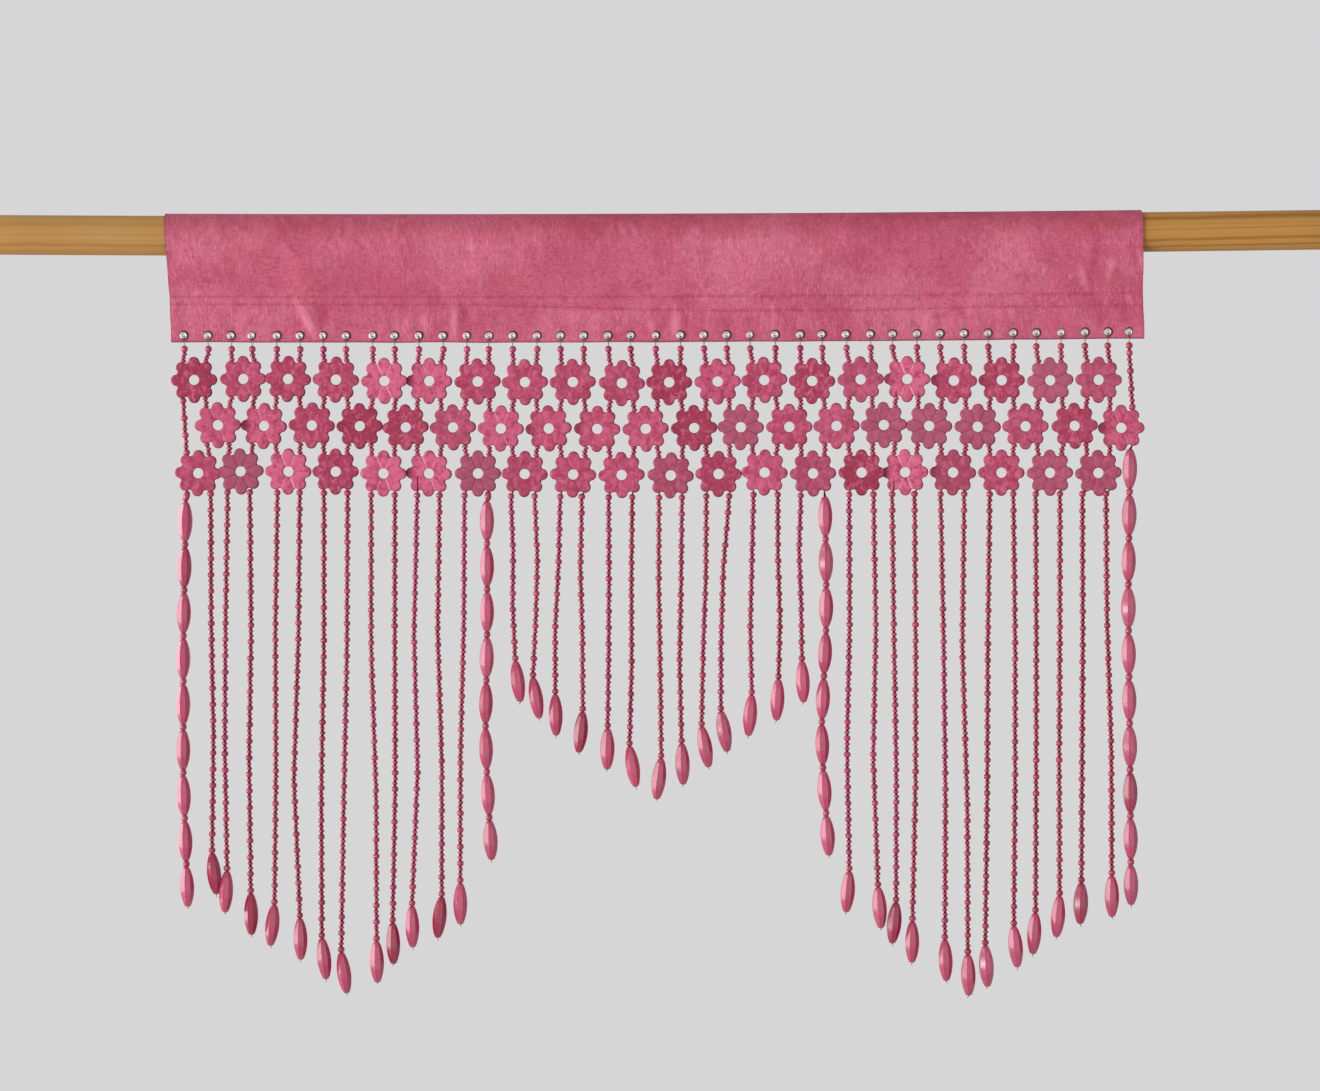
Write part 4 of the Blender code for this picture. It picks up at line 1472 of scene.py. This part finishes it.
def petal_reach(degrees):
    """The outline's radius, at an angle from a petal's middle."""
    angle = math.radians(abs(degrees))
    side = PETAL_OUT * math.sin(angle)
    ring = PETAL_OUT * math.cos(angle) + math.sqrt(max(0.0, PETAL_R**2 - side**2))
    return NOTCH_SOFT * math.log(math.exp(ring / NOTCH_SOFT) + math.exp(NOTCH_R / NOTCH_SOFT))


def flower_shape():
    """An eight-petal disc facing -Y, one petal up, with its grooves and string channels."""
    around = PETALS * 2 * (len(PETAL_STEPS) - 1)
    loop = [(share, -1) for share in FACE_SHARES] + [(1.0, 0)]
    loop += [(share, 1) for share in BACK_SHARES] + [(0.0, 0)]
    section = [(0, level, 1 + share) for share, level in loop]
    bm = spun_profile(section, (0, 1, 0), around, closed=True, merge=1e-5)
    layers = {label: bm.verts.layers.float.new(label) for label in FLOWER_LAYERS}
    for vert in bm.verts:
        share = math.hypot(vert.co.x, vert.co.z) - 1
        step = round(math.atan2(vert.co.x, vert.co.z) / math.tau * around) % around
        degrees = petal_angle(step)
        petal = (degrees + HALF_PETAL) % (2 * HALF_PETAL) - HALF_PETAL
        width = petal_reach(petal) - FLOWER_HOLE_R
        radius = FLOWER_HOLE_R + width * share
        angle = math.radians(degrees)
        x, z = radius * math.sin(angle), radius * math.cos(angle)
        off_groove = radius * math.sin(math.radians(HALF_PETAL - abs(petal)))
        edge = (1 - share) * width
        inner = share * width
        groove = bell(off_groove / GROOVE_HALF) * smooth_step(inner / GROOVE_FROM)
        crown = smooth_step(edge / PETAL_RISE_EDGE) * smooth_step(off_groove / PETAL_RISE_GROOVE)
        height = FLOWER_HALF + PETAL_RISE * crown
        height -= EDGE_ROUND * (1 - smooth_step(edge / EDGE_ROUND_WIDTH)) ** 2
        height -= HOLE_ROUND * (1 - smooth_step(inner / HOLE_ROUND_WIDTH))
        height -= GROOVE_DEPTH * groove
        height += CHANNEL_RISE * bell((abs(x) - FLOWER_CHANNEL) / CHANNEL_HALF)
        # Painted shade along the outline and round the hole, deeper at the lower right
        lower_right = (math.sin(angle) - math.cos(angle)) / math.sqrt(2)
        ring = bell(edge / RIM_DARK_HALF) + HOLE_DARK * bell(inner / HOLE_DARK_HALF)
        vert.co = (x, vert.co.y * height, z)
        vert[layers["groove"]] = groove
        vert[layers["rim"]] = min(1.0, ring * (RIM_DARK + RIM_SHADY * lower_right))
        vert[layers["around"]] = degrees * STREAKS_ROUND
        vert[layers["out"]] = radius * STREAKS_OUT
    return finish_mesh(bm, "flower", 70)


def paint_flower(verts, layers, tone, light, dusk, tucked):
    """How one flower looks: its tone, its grooves light or dark, and its left side in shade."""
    shine = clamped(light)
    for vert in verts:
        x, z = vert.co.x, vert.co.z
        upright = smooth_step((abs(z) - GROOVE_SLOPE * abs(x)) / GROOVE_TURN)
        if x * z > 0:
            upright *= SOFT_GROOVES
        left = smooth_step((-x - TUCKED_FROM) / TUCKED_OVER)
        light_line = shine * upright - dusk * DUSKY_GROOVE - PLAIN_GROOVE * (1 - shine)
        vert[layers["tone"]] = tone
        vert[layers["dusk"]] = dusk
        vert[layers["seam"]] = vert[layers["groove"]] * light_line
        vert[layers["shade"]] = tucked * left * TUCKED_SHADE


def make_flowers():
    draw = random.Random(47)
    shape = flower_shape()
    material = flower_finish()
    made = []
    for row_number, row in enumerate(FLOWER_ROWS, 1):
        bm = bmesh.new()
        for index in range(len(row.aside)):
            fresh = copied_in(bm, shape)
            layers = {label: bm.verts.layers.float[label] for label in FLOWER_LAYERS}
            light, dusk, tucked = (
                said.get(index + 1, 0.0) for said in (row.light, row.dusky, row.tucked)
            )
            own = draw.uniform(-FLOWER_TONES, FLOWER_TONES)
            # A shining flower's tone is raised as a painted sheen
            tone = clamped(FLOWER_TONE + own + LIGHTER * light)
            paint_flower(fresh, layers, tone, light, dusk, tucked)
            pitch = math.radians(draw.uniform(-3.0, 3.0) + 3.0 * light)
            yaw = math.radians(draw.uniform(-2.0, 2.0) - 3.0 * tucked)
            roll = math.radians(draw.uniform(-2.5, 2.5))
            place = (
                Matrix.Translation(flower_place(row, index))
                @ Matrix.Rotation(yaw, 4, "Z")
                @ Matrix.Rotation(pitch, 4, "X")
                @ Matrix.Rotation(roll, 4, "Y")
            )
            bmesh.ops.transform(bm, matrix=place, verts=fresh)
        name = f"flower_row_{row_number}"
        made.append(add_piece(name, plain_mesh(bm, name), material, "rose_beads"))
    return made


# Floor, light and camera

WALL_COLOUR = (0.680, 0.674, 0.677)
WALL_LIGHT = 0.65  # how bright the surround is as a light, against how it looks
MIDDLE = (0.555, 0, -0.28)
FLOOR_HALF = 4.5
FLOOR_PLACE = (0.555, 0, -1.6)
SUN_SPREAD = 28  # degrees
CAMERA_PLACE = (0.555, -3.0, -0.2534)
CAMERA_ROLL = 0.22  # degrees
CAMERA_LENS = 101.2

# Place in metres, power in watts (or a sun's strength), colour, and a panel's width and height
Lamp = namedtuple("Lamp", "name kind place power colour size")
LAMPS = (
    Lamp("window", "SUN", (-4.0, -3.6, -0.80), 1.85, (1.0, 0.985, 0.97), None),
    Lamp("side_window", "AREA", (-6.0, 0.2, -0.3), 490, (1.0, 0.985, 0.98), (5.5, 8.0)),
    Lamp("front_fill", "AREA", (1.2, -3.3, -0.2), 13, (1.0, 0.99, 0.99), (2.8, 2.8)),
)


def make_stage():
    bm = bmesh.new()
    bmesh.ops.create_grid(bm, x_segments=1, y_segments=1, size=FLOOR_HALF)
    floor = loose_object("floor", plain_mesh(bm, "floor"))
    floor.location = FLOOR_PLACE
    finish = Finish("pale_floor")
    colour = finish.blend(finish.noise(3, 2.0), (0.70, 0.70, 0.70), (0.74, 0.735, 0.73))
    floor.data.materials.append(finish.done(colour, 0.9))


def add_lamp(lamp):
    """A lamp that looks at the middle of the valance: a far soft sun, or a bright panel."""
    light = bpy.data.lights.new(lamp.name, lamp.kind)
    light.energy = lamp.power
    light.color = lamp.colour
    if lamp.kind == "SUN":
        light.angle = math.radians(SUN_SPREAD)
    else:
        light.shape = "RECTANGLE"
        light.size, light.size_y = lamp.size
    holder = loose_object(lamp.name, light)
    holder.location = lamp.place
    holder.rotation_euler = (Vector(MIDDLE) - Vector(lamp.place)).to_track_quat("-Z", "Y").to_euler()


def make_studio():
    """A pale surround, dimmer as a light than as a backdrop, and the three lamps."""
    world = bpy.data.worlds.new("studio")
    bpy.context.scene.world = world
    world.use_nodes = True
    tree = world.node_tree
    surround = tree.nodes["Background"]
    surround.inputs["Strength"].default_value = WALL_LIGHT
    backdrop = tree.nodes.new("ShaderNodeBackground")
    for wall in (surround, backdrop):
        wall.inputs["Color"].default_value = (*WALL_COLOUR, 1)
    chosen = tree.nodes.new("ShaderNodeMixShader")
    path = tree.nodes.new("ShaderNodeLightPath")
    tree.links.new(path.outputs["Is Camera Ray"], chosen.inputs[0])
    tree.links.new(surround.outputs[0], chosen.inputs[1])
    tree.links.new(backdrop.outputs[0], chosen.inputs[2])
    tree.links.new(chosen.outputs[0], tree.nodes["World Output"].inputs["Surface"])
    for lamp in LAMPS:
        add_lamp(lamp)
    bpy.context.scene.view_settings.view_transform = "Standard"


def make_camera():
    """Straight ahead, 3 m off and rolled by a fifth of a degree."""
    lens = bpy.data.cameras.new("camera")
    lens.sensor_width = 36
    lens.lens = CAMERA_LENS
    camera = loose_object("camera", lens)
    camera.location = CAMERA_PLACE
    camera.rotation_euler = (math.pi / 2, math.radians(CAMERA_ROLL), 0)
    bpy.context.scene.camera = camera


make_camera()
make_studio()
make_stage()
make_pole()
band, band_outline = make_band()
trim = [make_stitches(band_outline), make_eyelets(), *make_strings(), *make_flowers()]
